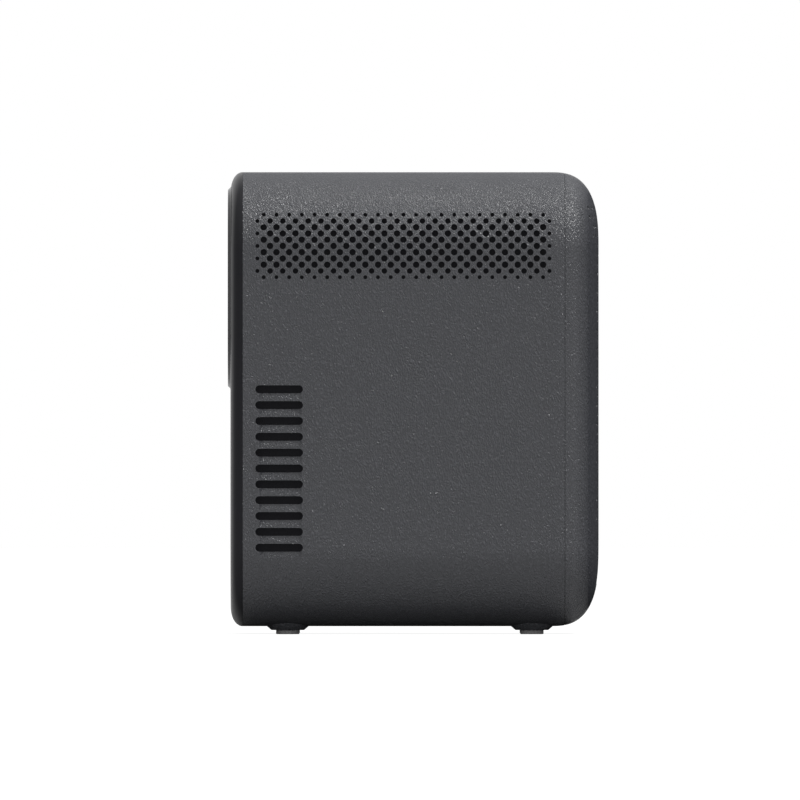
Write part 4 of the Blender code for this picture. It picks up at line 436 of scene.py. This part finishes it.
def makeShell():
    sleeve = bodySlice(0, body["shellFront"], rear["curveY"])
    reach = body["shellRear"] - rear["curveY"]
    drawIn(sleeve, 1, rear["curveY"], rounding(rear["inset"], rear["depth"], rear["fullness"], 0, reach, 6))
    skin = objectFrom("shellSkin", sleeve)
    outline = [(r, z) for z, r in shell["bossSides"]]
    outline = [(0, outline[0][1])] + outline + [(0, outline[-1][1])]
    for x in (-shell["bossX"], shell["bossX"]):
        for y in shell["bossY"]:
            combine(skin, spun(outline, (x, y, 0), 2, 72), "UNION")
    past = shell["past"]
    combine(skin, bodySlice(body["wall"], body["shellFront"] - past, body["shellRear"] + past))
    dots = bmesh.new()
    for y, z, radius in grilleDots():
        for start in shell["dotStarts"]:
            disc(dots, (start, y, z), shell["dotDrill"], radius, 0, shell["holeSides"])
    combine(skin, dots)
    slots, ramps = bmesh.new(), bmesh.new()
    half, (inside, outside) = shell["slotHeight"] / 2, shell["slotX"]
    rampIn, rampOut = body["halfWidth"] - shell["rampDepth"], body["halfWidth"] + shell["rampDepth"]
    for step in range(shell["slots"]):
        z = shell["slotLow"] + step * shell["slotPitch"]
        roundedBox(slots, (inside, shell["slotFront"], z - half), (outside, shell["slotRear"], z + half),
                   half * 0.999, 0, 10)
        ramp = boxAt(ramps, (rampIn, shell["slotFront"] + half + shell["rampEnd"], z - half - 0.001),
                     (rampOut, shell["slotRear"] - half * 0.35, z))
        for vert in ramp:
            if vert.co.z < z - half and vert.co.x < body["halfWidth"]:
                vert.co.z = z - half
            elif vert.co.z < z - half:
                vert.co.z = z - half - 2 * shell["rampLength"]
            if vert.co.x > body["halfWidth"] and vert.co.y < shell["slotRear"] - 2 * half:
                vert.co.y -= 2 * shell["rampEnd"]
    combine(skin, ramps)
    combine(skin, slots)
    bores = bmesh.new()
    for x in (-shell["bossX"], shell["bossX"]):
        for y in shell["bossY"]:
            disc(bores, (x, y, shell["boreLow"]), shell["footDrill"], shell["footPocket"], 2, 48)
    disc(bores, (0, 0, shell["boreLow"]), shell["nutDrill"], shell["nutHole"], 2, 48)
    disc(bores, (0, shell["buttonY"], shell["buttonLow"]), shell["buttonDrill"], shell["buttonHole"], 2, 96)
    combine(skin, bores)
    return dress(skin, materials["grained_shell"], "housing", "main_shell", weighted=True)


makeShell()

# black screens just inside the openings, as thin as the room behind the wall allows
screens = {"inset": (0.00245, 0.00265), "sideX": (0.045, 0.07), "past": 0.01,
           "grille": (-0.0665, 0.0565, 0.1415, 0.1732), "louvre": (-0.0655, -0.0428, 0.0325, 0.1018)}


def makeScreen(name, side, places):
    front, back, low, high = places
    outer, inner = screens["inset"]
    fore, aft = front - screens["past"], back + screens["past"]
    near, far = sorted(side * x for x in screens["sideX"])
    sheet = objectFrom(name, bodySlice(outer, front, back))
    combine(sheet, bodySlice(inner, fore, aft))
    keep = bmesh.new()
    boxAt(keep, (near, fore, low), (far, aft, high))
    combine(sheet, keep, "INTERSECT")
    return dress(sheet, materials["screen_black"], "housing")


for name, side, key in (
    ("grilleScreenRight", 1, "grille"), ("grilleScreenLeft", -1, "grille"), ("louvreScreen", 1, "louvre"),
):
    makeScreen(name, side, screens[key])
print("shell and screens made")


# front cover with its soft edge

cover = {"back": -0.0692, "face": -0.0739, "edgeHeight": 0.0076, "edgeSteps": 14, "skin": 0.003, "lipInset": 0.0027,
         "lipWall": 0.0016, "lipEnd": -0.0659, "start": 0.0002, "join": 0.001, "past": 0.002,
         "bezelGap": 0.0003, "bezelSeat": -0.0723, "opening": 0.025, "drillY": -0.078, "drill": 0.012}


def makeCover():
    depth = cover["back"] - cover["face"]
    bm = bodySlice(0, cover["back"], cover["back"] + cover["start"])
    drawIn(bm, 1, cover["back"], rounding(cover["edgeHeight"], depth, 2, 0, depth, cover["edgeSteps"]))
    skin = objectFrom("frontCoverSkin", bm)
    combine(skin, bodySlice(cover["lipInset"], cover["back"] - cover["join"], cover["lipEnd"]), "UNION")
    hollow = cover["lipInset"] + cover["lipWall"]
    combine(skin, bodySlice(hollow, cover["face"] + cover["skin"], cover["lipEnd"] + cover["past"]))
    combine(skin, bezelSlice(cover["bezelGap"], cover["face"] - cover["past"], cover["bezelSeat"]))
    opening = bmesh.new()
    disc(opening, (0, cover["drillY"], body["lensZ"]), cover["drill"], cover["opening"], 1, 96)
    combine(skin, opening)
    return dress(skin, materials["front_black"], "housing", "front_cover", weighted=True)


# raised bezel, on a slightly hollow sloped rim

bezel = {"halfWidth": 0.05425, "halfHeight": 0.04115, "corner": 0.0235, "rim": 0.00135, "hollow": 0.00012,
         "face": -0.075, "base": -0.07375, "back": -0.0726, "seat": 0.0269, "seatBack": -0.0735, "hole": 0.0237,
         "cameraX": 0.04063, "cameraSeat": 0.0039, "cameraHole": 0.0018, "rimShares": (0.25, 0.5, 0.75, 0.94),
         "rimFoot": 1.08, "seatFront": -0.077, "holeFront": -0.078, "drill": 0.01}


def bezelSlice(grow, frontY, rearY):
    half, tall = bezel["halfWidth"] + grow, bezel["halfHeight"] + grow
    return roundedBox(bmesh.new(), (-half, frontY, body["lensZ"] - tall), (half, rearY, body["lensZ"] + tall),
                      bezel["corner"] + grow, 1, 24)


def makeBezel():
    bm = bezelSlice(0, bezel["base"], bezel["back"])
    depth = bezel["base"] - bezel["face"]
    rim = [(bezel["rim"] * share, depth * share - 4 * bezel["hollow"] * share * (1 - share))
           for share in bezel["rimShares"]]
    stepIn(bm, faceToward(bm, 1, bezel["base"]), rim + [(bezel["rim"] * bezel["rimFoot"], depth)])
    skin = objectFrom("bezelSkin", bm)
    seats, holes = bmesh.new(), bmesh.new()
    seatY, holeY = bezel["seatFront"], bezel["holeFront"]
    seatDrill = bezel["seatBack"] - seatY
    for x, seat, seatSides, hole, holeSides in (
        (0, bezel["seat"], 128, bezel["hole"], 128),
        (bezel["cameraX"], bezel["cameraSeat"], 48, bezel["cameraHole"], 32),
    ):
        disc(seats, (x, seatY, body["lensZ"]), seatDrill, seat, 1, seatSides)
        disc(holes, (x, holeY, body["lensZ"]), bezel["drill"], hole, 1, holeSides)
    combine(skin, seats)
    combine(skin, holes)
    return dress(skin, materials["gloss_black"], "housing", "window_bezel", weighted=True)


makeCover()
makeBezel()
print("front cover and bezel made")


# windows and lens

def roundedRim(radius, low, high, edge, steps=4):
    # outline of a disc with rounded rims, from the axis on one face to the axis on the other
    points = [(0, low)]
    for step in range(steps + 1):
        turn = math.pi / 2 * step / steps
        points.append((radius - edge + edge * math.sin(turn), low + edge - edge * math.cos(turn)))
    for step in range(steps + 1):
        turn = math.pi / 2 * step / steps
        points.append((radius - edge + edge * math.cos(turn), high - edge + edge * math.sin(turn)))
    return points + [(0, high)]


windows = {"lens": (0, 0.0267), "camera": (bezel["cameraX"], 0.0036), "front": -0.0748, "thick": 0.0012, "edge": 0.0002}
for key, node in (("lens", "lens_window"), ("camera", "camera_window")):
    x, radius = windows[key]
    bm = spun(roundedRim(radius, 0, windows["thick"], windows["edge"]), (x, windows["front"], body["lensZ"]), 1, 128)
    pane = objectFrom(key + "WindowSkin", bm)
    dress(pane, materials["coated_glass"], "housing", node)

hood = {"front": -0.0706, "length": 0.0125, "flange": 0.030, "flangeThick": 0.0012, "mouth": 0.025,
        "throat": 0.0233, "wall": 0.0013, "ridges": 14, "ridge": 0.00035}


def makeHood():
    inner = []
    for step in range(hood["ridges"]):
        share, nextShare = step / hood["ridges"], (step + 1) / hood["ridges"]
        radius = hood["mouth"] + (hood["throat"] - hood["mouth"]) * share
        crest = share * 0.35 + nextShare * 0.65
        inner += [(radius, hood["length"] * share), (radius - hood["ridge"], hood["length"] * crest)]
    inner.append((hood["throat"], hood["length"]))
    outer = [(hood["throat"] + hood["wall"], hood["length"]), (hood["mouth"] + hood["wall"], hood["flangeThick"]),
             (hood["flange"], hood["flangeThick"]), (hood["flange"], 0)]
    ring = objectFrom("hoodSkin", spun(inner + outer, (0, hood["front"], body["lensZ"]), 1, 96))
    return dress(ring, materials["inner_black"], "housing", "lens_hood")


makeHood()

barrel = {"front": -0.0563, "length": 0.040, "radius": 0.022, "wall": 0.002, "seat": 0.008, "land": 0.0025,
          "lens": 0.0197, "rim": 0.003, "crown": 0.004, "domeSteps": 12}


def makeBarrel():
    inner = barrel["radius"] - barrel["wall"]
    land = inner - barrel["land"]
    far = barrel["length"] - barrel["seat"]
    edge = 0.0004
    profile = [(barrel["radius"], barrel["length"] - edge), (barrel["radius"], edge), (barrel["radius"] - edge, 0),
               (inner + edge, 0), (inner, edge), (inner, barrel["seat"]), (land, barrel["seat"])]
    turns = 12
    for step in range(turns):
        along = barrel["seat"] + (far - barrel["seat"]) * (step + 0.5) / turns
        profile += [(land + 0.0004, along - 0.0003), (land, along + 0.0003)]
    profile += [(land, far), (inner, far), (inner, barrel["length"] - edge), (inner + edge, barrel["length"]),
                (barrel["radius"] - edge, barrel["length"])]
    tube = objectFrom("barrelSkin", spun(profile, (0, barrel["front"], body["lensZ"]), 1, 96))
    return dress(tube, materials["inner_black"], "lens_barrel", "lens_barrel")


def makeLens(name, node, flip):
    # plano-convex: the flat face sits on the barrel's shoulder
    radius, rim, crown = barrel["lens"], barrel["rim"], barrel["crown"]
    ball = (radius**2 + crown**2) / (2 * crown)
    seat = barrel["seat"] - 0.0003
    half = math.asin(radius / ball)
    profile = [(0, seat), (radius, seat)]
    for step in range(barrel["domeSteps"] + 1):
        turn = half * (1 - step / barrel["domeSteps"])
        profile.append((ball * math.sin(turn), seat - rim - (ball * math.cos(turn) - ball + crown)))
    if flip:
        profile = [(r, barrel["length"] - h) for r, h in profile]
    glass = objectFrom(name, spun(profile, (0, barrel["front"], body["lensZ"]), 1, 96))
    return dress(glass, materials["coated_glass"], "lens_barrel", node)


makeBarrel()
makeLens("frontLensSkin", "front_lens", False)
makeLens("rearLensSkin", "rear_lens", True)
print("windows, hood and lens made")


# rear cap with its perforation

cap = {"start": 0.0615, "steps": 26, "lipStart": 0.0582,
       "lipInset": 0.0027, "lipWall": 0.0016, "rearFace": 0.075, "holeTop": 0.1725, "holeLow": 0.0478,
       "pitch": 0.0038, "reach": (0.0490, 0.0448), "taper": (0.166, 0.150), "hole": 0.0008, "holeSides": 12,
       "drillY": 0.055, "drill": 0.025, "flatEdge": 0.00015, "join": 0.0015, "past": 0.001,
       "panelZ": 0.0295, "panelHalf": (0.034, 0.009), "panelCorner": 0.003, "panelBack": 0.0712, "panelGap": 0.0003,
       "frame": 0.0020, "frameFront": 0.0015, "frameRear": 0.0018, "ledge": 0.0020, "windowPast": 0.004}


def pillowBlock(inset, startY):
    depth = rear["depth"] - inset
    begin = cap["start"] - rear["curveY"]
    places = list(rounding(rear["inset"] - inset, depth, rear["fullness"], begin, depth, cap["steps"]))
    return drawIn(bodySlice(inset + places[0][0], startY, cap["start"]), 1, cap["start"], places)


def panelSlice(grow, frontY, rearY):
    wide, tall = (half + grow for half in cap["panelHalf"])
    return roundedBox(bmesh.new(), (-wide, frontY, cap["panelZ"] - tall), (wide, rearY, cap["panelZ"] + tall),
                      cap["panelCorner"], 1, 8)


def makeCap():
    skin = objectFrom("rearCapSkin", pillowBlock(0, cap["start"] - cap["flatEdge"]))
    combine(skin, bodySlice(cap["lipInset"], cap["lipStart"], cap["start"] + cap["join"]), "UNION")
    combine(skin, pillowBlock(cap["lipInset"] + cap["lipWall"], cap["lipStart"] - cap["past"]))
    back, face = cap["panelBack"], cap["rearFace"]
    combine(skin, panelSlice(cap["frame"], back - cap["frameFront"], face - cap["frameRear"]), "UNION")
    combine(skin, panelSlice(cap["panelGap"], back - cap["panelGap"], face + cap["past"]))
    combine(skin, panelSlice(-cap["ledge"], back - cap["windowPast"], face))
    holes = bmesh.new()
    for row in range(round((cap["holeTop"] - cap["holeLow"]) / cap["pitch"]) + 1):
        z = cap["holeTop"] - row * cap["pitch"]
        share = min(1, max(0, (cap["taper"][0] - z) / (cap["taper"][0] - cap["taper"][1])))
        reach = cap["reach"][0] + (cap["reach"][1] - cap["reach"][0]) * share
        count = 2 * int(reach / cap["pitch"] + 0.5 * (row % 2)) + 1 - row % 2
        for column in range(count):
            x = (column - (count - 1) / 2) * cap["pitch"]
            disc(holes, (x, cap["drillY"], z), cap["drill"], cap["hole"], 1, cap["holeSides"])
    combine(skin, holes)
    return dress(skin, materials["grained_shell"], "housing", "rear_cover", weighted=True)


makeCap()
print("rear cap made")


# tongues, contacts and pin inside the sockets, which the solids leave out

sockets = {
    "axisZ": 0.0295, "back": 0.0601, "front": 0.0692, "edge": 0.0003,
    "tongues": {"hdmi": (-0.0060, 0.0117, 0.0293, 0.0015), "usb": (0.0140, 0.0112, 0.0304, 0.0018)},
    "contacts": {"hdmi": (10, 0.0010, 0.00055), "usb": (4, 0.0024, 0.0011)},
    "contactThick": 0.00012, "contactShort": 0.0008,
    "pinX": -0.025, "pin": 0.0009, "pinEnd": 0.0680,
}


def makeTongue(key):
    x, wide, z, thick = sockets["tongues"][key]
    low, high = (x - wide / 2, sockets["back"], z - thick / 2), (x + wide / 2, sockets["front"], z + thick / 2)
    bm = softBox(low, high, sockets["edge"])
    return dress(objectFrom(key + "Tongue", bm), materials["inner_black"], "housing")


def makeContacts(key):
    x, wide, z, thick = sockets["tongues"][key]
    count, pitch, width = sockets["contacts"][key]
    low = z - thick / 2 - sockets["contactThick"]
    bm = bmesh.new()
    for step in range(count):
        middle = x + (step - (count - 1) / 2) * pitch
        boxAt(bm, (middle - width / 2, sockets["back"], low),
              (middle + width / 2, sockets["front"] - sockets["contactShort"], z - thick / 2 + sockets["edge"]))
    return dress(objectFrom(key + "Contacts", bm), materials["nut_brass"], "housing")


def makePin():
    length = sockets["pinEnd"] - sockets["back"]
    place = (sockets["pinX"], sockets["back"], sockets["axisZ"])
    bm = spun(roundedRim(sockets["pin"], 0, length, sockets["pin"] * 0.6), place, 1, 32)
    return dress(objectFrom("powerPin", bm), materials["plain_steel"], "housing")


for key in sockets["tongues"]:
    makeTongue(key)
    makeContacts(key)
makePin()
print("socket contacts made")


# feet, tripod nut and power button

foot = {"radius": 0.00475, "top": 0.00236, "edge": 0.0004}
for where, x, y in (("front_left", -1, 0), ("front_right", 1, 0), ("rear_left", -1, 1), ("rear_right", 1, 1)):
    centre = (x * shell["bossX"], shell["bossY"][y], 0)
    pad = objectFrom("footPad_" + where, spun(roundedRim(foot["radius"], 0, foot["top"], foot["edge"]), centre, 2, 48))
    dress(pad, materials["foot_rubber"], "housing", "foot_" + where)

nut = {"low": 0.0035, "length": 0.0065, "radius": 0.005, "hole": 0.0032, "pitch": 0.00127, "thread": 0.0004}


def makeNut():
    top = nut["low"] + nut["length"]
    profile = [(nut["radius"], top), (nut["radius"], nut["low"]), (nut["hole"] + nut["thread"], nut["low"])]
    turns = int(nut["length"] / nut["pitch"])
    for step in range(turns):
        z = nut["low"] + nut["pitch"] * (step + 0.5)
        profile += [(nut["hole"], z), (nut["hole"] + nut["thread"], z + nut["pitch"] / 2)]
    profile.append((nut["hole"], top))
    ring = objectFrom("tripodNutSkin", spun(profile, (0, 0, 0), 2, 48))
    return dress(ring, materials["nut_brass"], "housing", "tripod_nut")


makeNut()

button = {"radius": 0.0067, "top": 0.1869, "dish": 0.0004, "flangeTop": 0.1843, "flange": 0.0008,
          "flangeThick": 0.0008, "stem": 0.0016}


def makeButton():
    low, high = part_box("power_button")
    rim, top = button["radius"], button["top"]
    profile = [(0, top - button["dish"]), (rim * 0.45, top - button["dish"] * 0.8),
               (rim * 0.8, top - button["dish"] * 0.25),
               (rim - 0.0005, top), (rim - 0.0002, top - 0.0001), (rim, top - 0.0004), (rim, button["flangeTop"]),
               (high.x, button["flangeTop"]), (high.x, button["flangeTop"] - button["flangeThick"]),
               (button["stem"], button["flangeTop"] - button["flangeThick"]), (button["stem"], low.z), (0, low.z)]
    cap = objectFrom("buttonSkin", spun(profile, (0, shell["buttonY"], 0), 2, 96))
    return dress(cap, materials["grained_shell"], "power_button", "power_button")


makeButton()
print("feet, nut and button made")


# floor, light and camera

stage = {"floorSize": 16.0, "sky": 3.35, "rearDim": 0.4, "shadow": 0.10, "litColour": 0.4, "bounce": 0.15}


def seenDirectly(tree):
    path = tree.nodes.new("ShaderNodeLightPath")
    most = maths(tree, "MAXIMUM", path.outputs["Is Camera Ray"], path.outputs["Is Glossy Ray"])
    return maths(tree, "MAXIMUM", most, path.outputs["Is Transmission Ray"])


def makeFloor():
    bm = bmesh.new()
    bmesh.ops.create_grid(bm, x_segments=1, y_segments=1, size=stage["floorSize"] / 2)
    floor = objectFrom("floor", bm)
    mat = bpy.data.materials.new("floorWhite")
    mat.use_nodes = True
    tree = mat.node_tree
    tree.nodes.clear()
    out = tree.nodes.new("ShaderNodeOutputMaterial")
    dull, lit, faint, glow = (tree.nodes.new(kind) for kind in (
        "ShaderNodeBsdfDiffuse", "ShaderNodeBsdfDiffuse", "ShaderNodeBsdfDiffuse", "ShaderNodeEmission"))
    dull.inputs["Color"].default_value = (stage["bounce"],) * 3 + (1,)
    lit.inputs["Color"].default_value = (stage["litColour"],) * 3 + (1,)
    faint.inputs["Color"].default_value = (stage["shadow"],) * 3 + (1,)
    glow.inputs["Strength"].default_value = 1 - stage["shadow"]
    path = tree.nodes.new("ShaderNodeLightPath")
    shown = tree.nodes.new("ShaderNodeAddShader")
    tree.links.new(faint.outputs[0], shown.inputs[0])
    tree.links.new(glow.outputs[0], shown.inputs[1])
    seen, mixed = tree.nodes.new("ShaderNodeMixShader"), tree.nodes.new("ShaderNodeMixShader")
    most = maths(tree, "MAXIMUM", path.outputs["Is Glossy Ray"], path.outputs["Is Transmission Ray"])
    tree.links.new(most, seen.inputs[0])
    tree.links.new(dull.outputs[0], seen.inputs[1])
    tree.links.new(lit.outputs[0], seen.inputs[2])
    tree.links.new(path.outputs["Is Camera Ray"], mixed.inputs[0])
    tree.links.new(seen.outputs[0], mixed.inputs[1])
    tree.links.new(shown.outputs[0], mixed.inputs[2])
    tree.links.new(mixed.outputs[0], out.inputs["Surface"])
    floor.data.materials.append(mat)


def makeWorld():
    world = bpy.data.worlds.new("studio")
    world.use_nodes = True
    tree = world.node_tree
    tree.nodes.clear()
    out = tree.nodes.new("ShaderNodeOutputWorld")
    coords = tree.nodes.new("ShaderNodeTexCoord")
    split = tree.nodes.new("ShaderNodeSeparateXYZ")
    tree.links.new(coords.outputs["Generated"], split.inputs[0])
    above = maths(tree, "MAXIMUM", split.outputs["Z"], 0)
    level = maths(tree, "MULTIPLY", maths(tree, "POWER", above, 1.8), stage["sky"])
    plain, white, mixed = (tree.nodes.new(kind) for kind in (
        "ShaderNodeBackground", "ShaderNodeBackground", "ShaderNodeMixShader"))
    behind = maths(tree, "MAXIMUM", split.outputs["Y"], 0)
    dimmed = maths(tree, "SUBTRACT", 1, maths(tree, "MULTIPLY", behind, stage["rearDim"]))
    level = maths(tree, "MULTIPLY", level, dimmed)
    tree.links.new(level, plain.inputs["Strength"])
    white.inputs["Strength"].default_value = 1.0
    white.inputs["Color"].default_value = (1, 1, 1, 1)
    plain.inputs["Color"].default_value = (1, 1, 1, 1)
    tree.links.new(seenDirectly(tree), mixed.inputs[0])
    tree.links.new(plain.outputs[0], mixed.inputs[1])
    tree.links.new(white.outputs[0], mixed.inputs[2])
    tree.links.new(mixed.outputs[0], out.inputs["Surface"])
    bpy.context.scene.world = world


lamps = {
    "key": {"toward": (0.17, 0.50, 0.85), "size": 0.3, "power": 44.0},
    "fill": {"toward": (1, 0, 0.04), "size": 0.4, "power": 21.0},
}


def makeLamp(name):
    look = lamps[name]
    data = bpy.data.lights.new(name, "AREA")
    data.shape, data.size, data.energy = "DISK", look["size"], look["power"]
    lamp = bpy.data.objects.new(name, data)
    away = Vector(look["toward"]).normalized()
    lamp.location = Vector((0, 0, 0.095)) + away * 2
    lamp.rotation_euler = away.to_track_quat("Z", "Y").to_euler()
    bpy.context.collection.objects.link(lamp)
    return lamp


shot = {"distance": 14.0, "planeX": 0.045, "across": 0.323456, "centreY": -0.00538, "centreZ": 0.09477}


def makeCamera():
    data = bpy.data.cameras.new("sideCamera")
    data.sensor_width = 36
    data.lens = 36 * shot["distance"] / shot["across"]
    data.clip_end = 100
    camera = bpy.data.objects.new("sideCamera", data)
    camera.location = (shot["planeX"] + shot["distance"], shot["centreY"], shot["centreZ"])
    camera.rotation_euler = (math.pi / 2, 0, math.pi / 2)
    bpy.context.collection.objects.link(camera)
    bpy.context.scene.camera = camera


makeFloor()
makeWorld()
makeLamp("key")
makeLamp("fill").visible_glossy = False
makeCamera()
bpy.context.scene.view_settings.view_transform = "Standard"
print("stage, light and camera made")
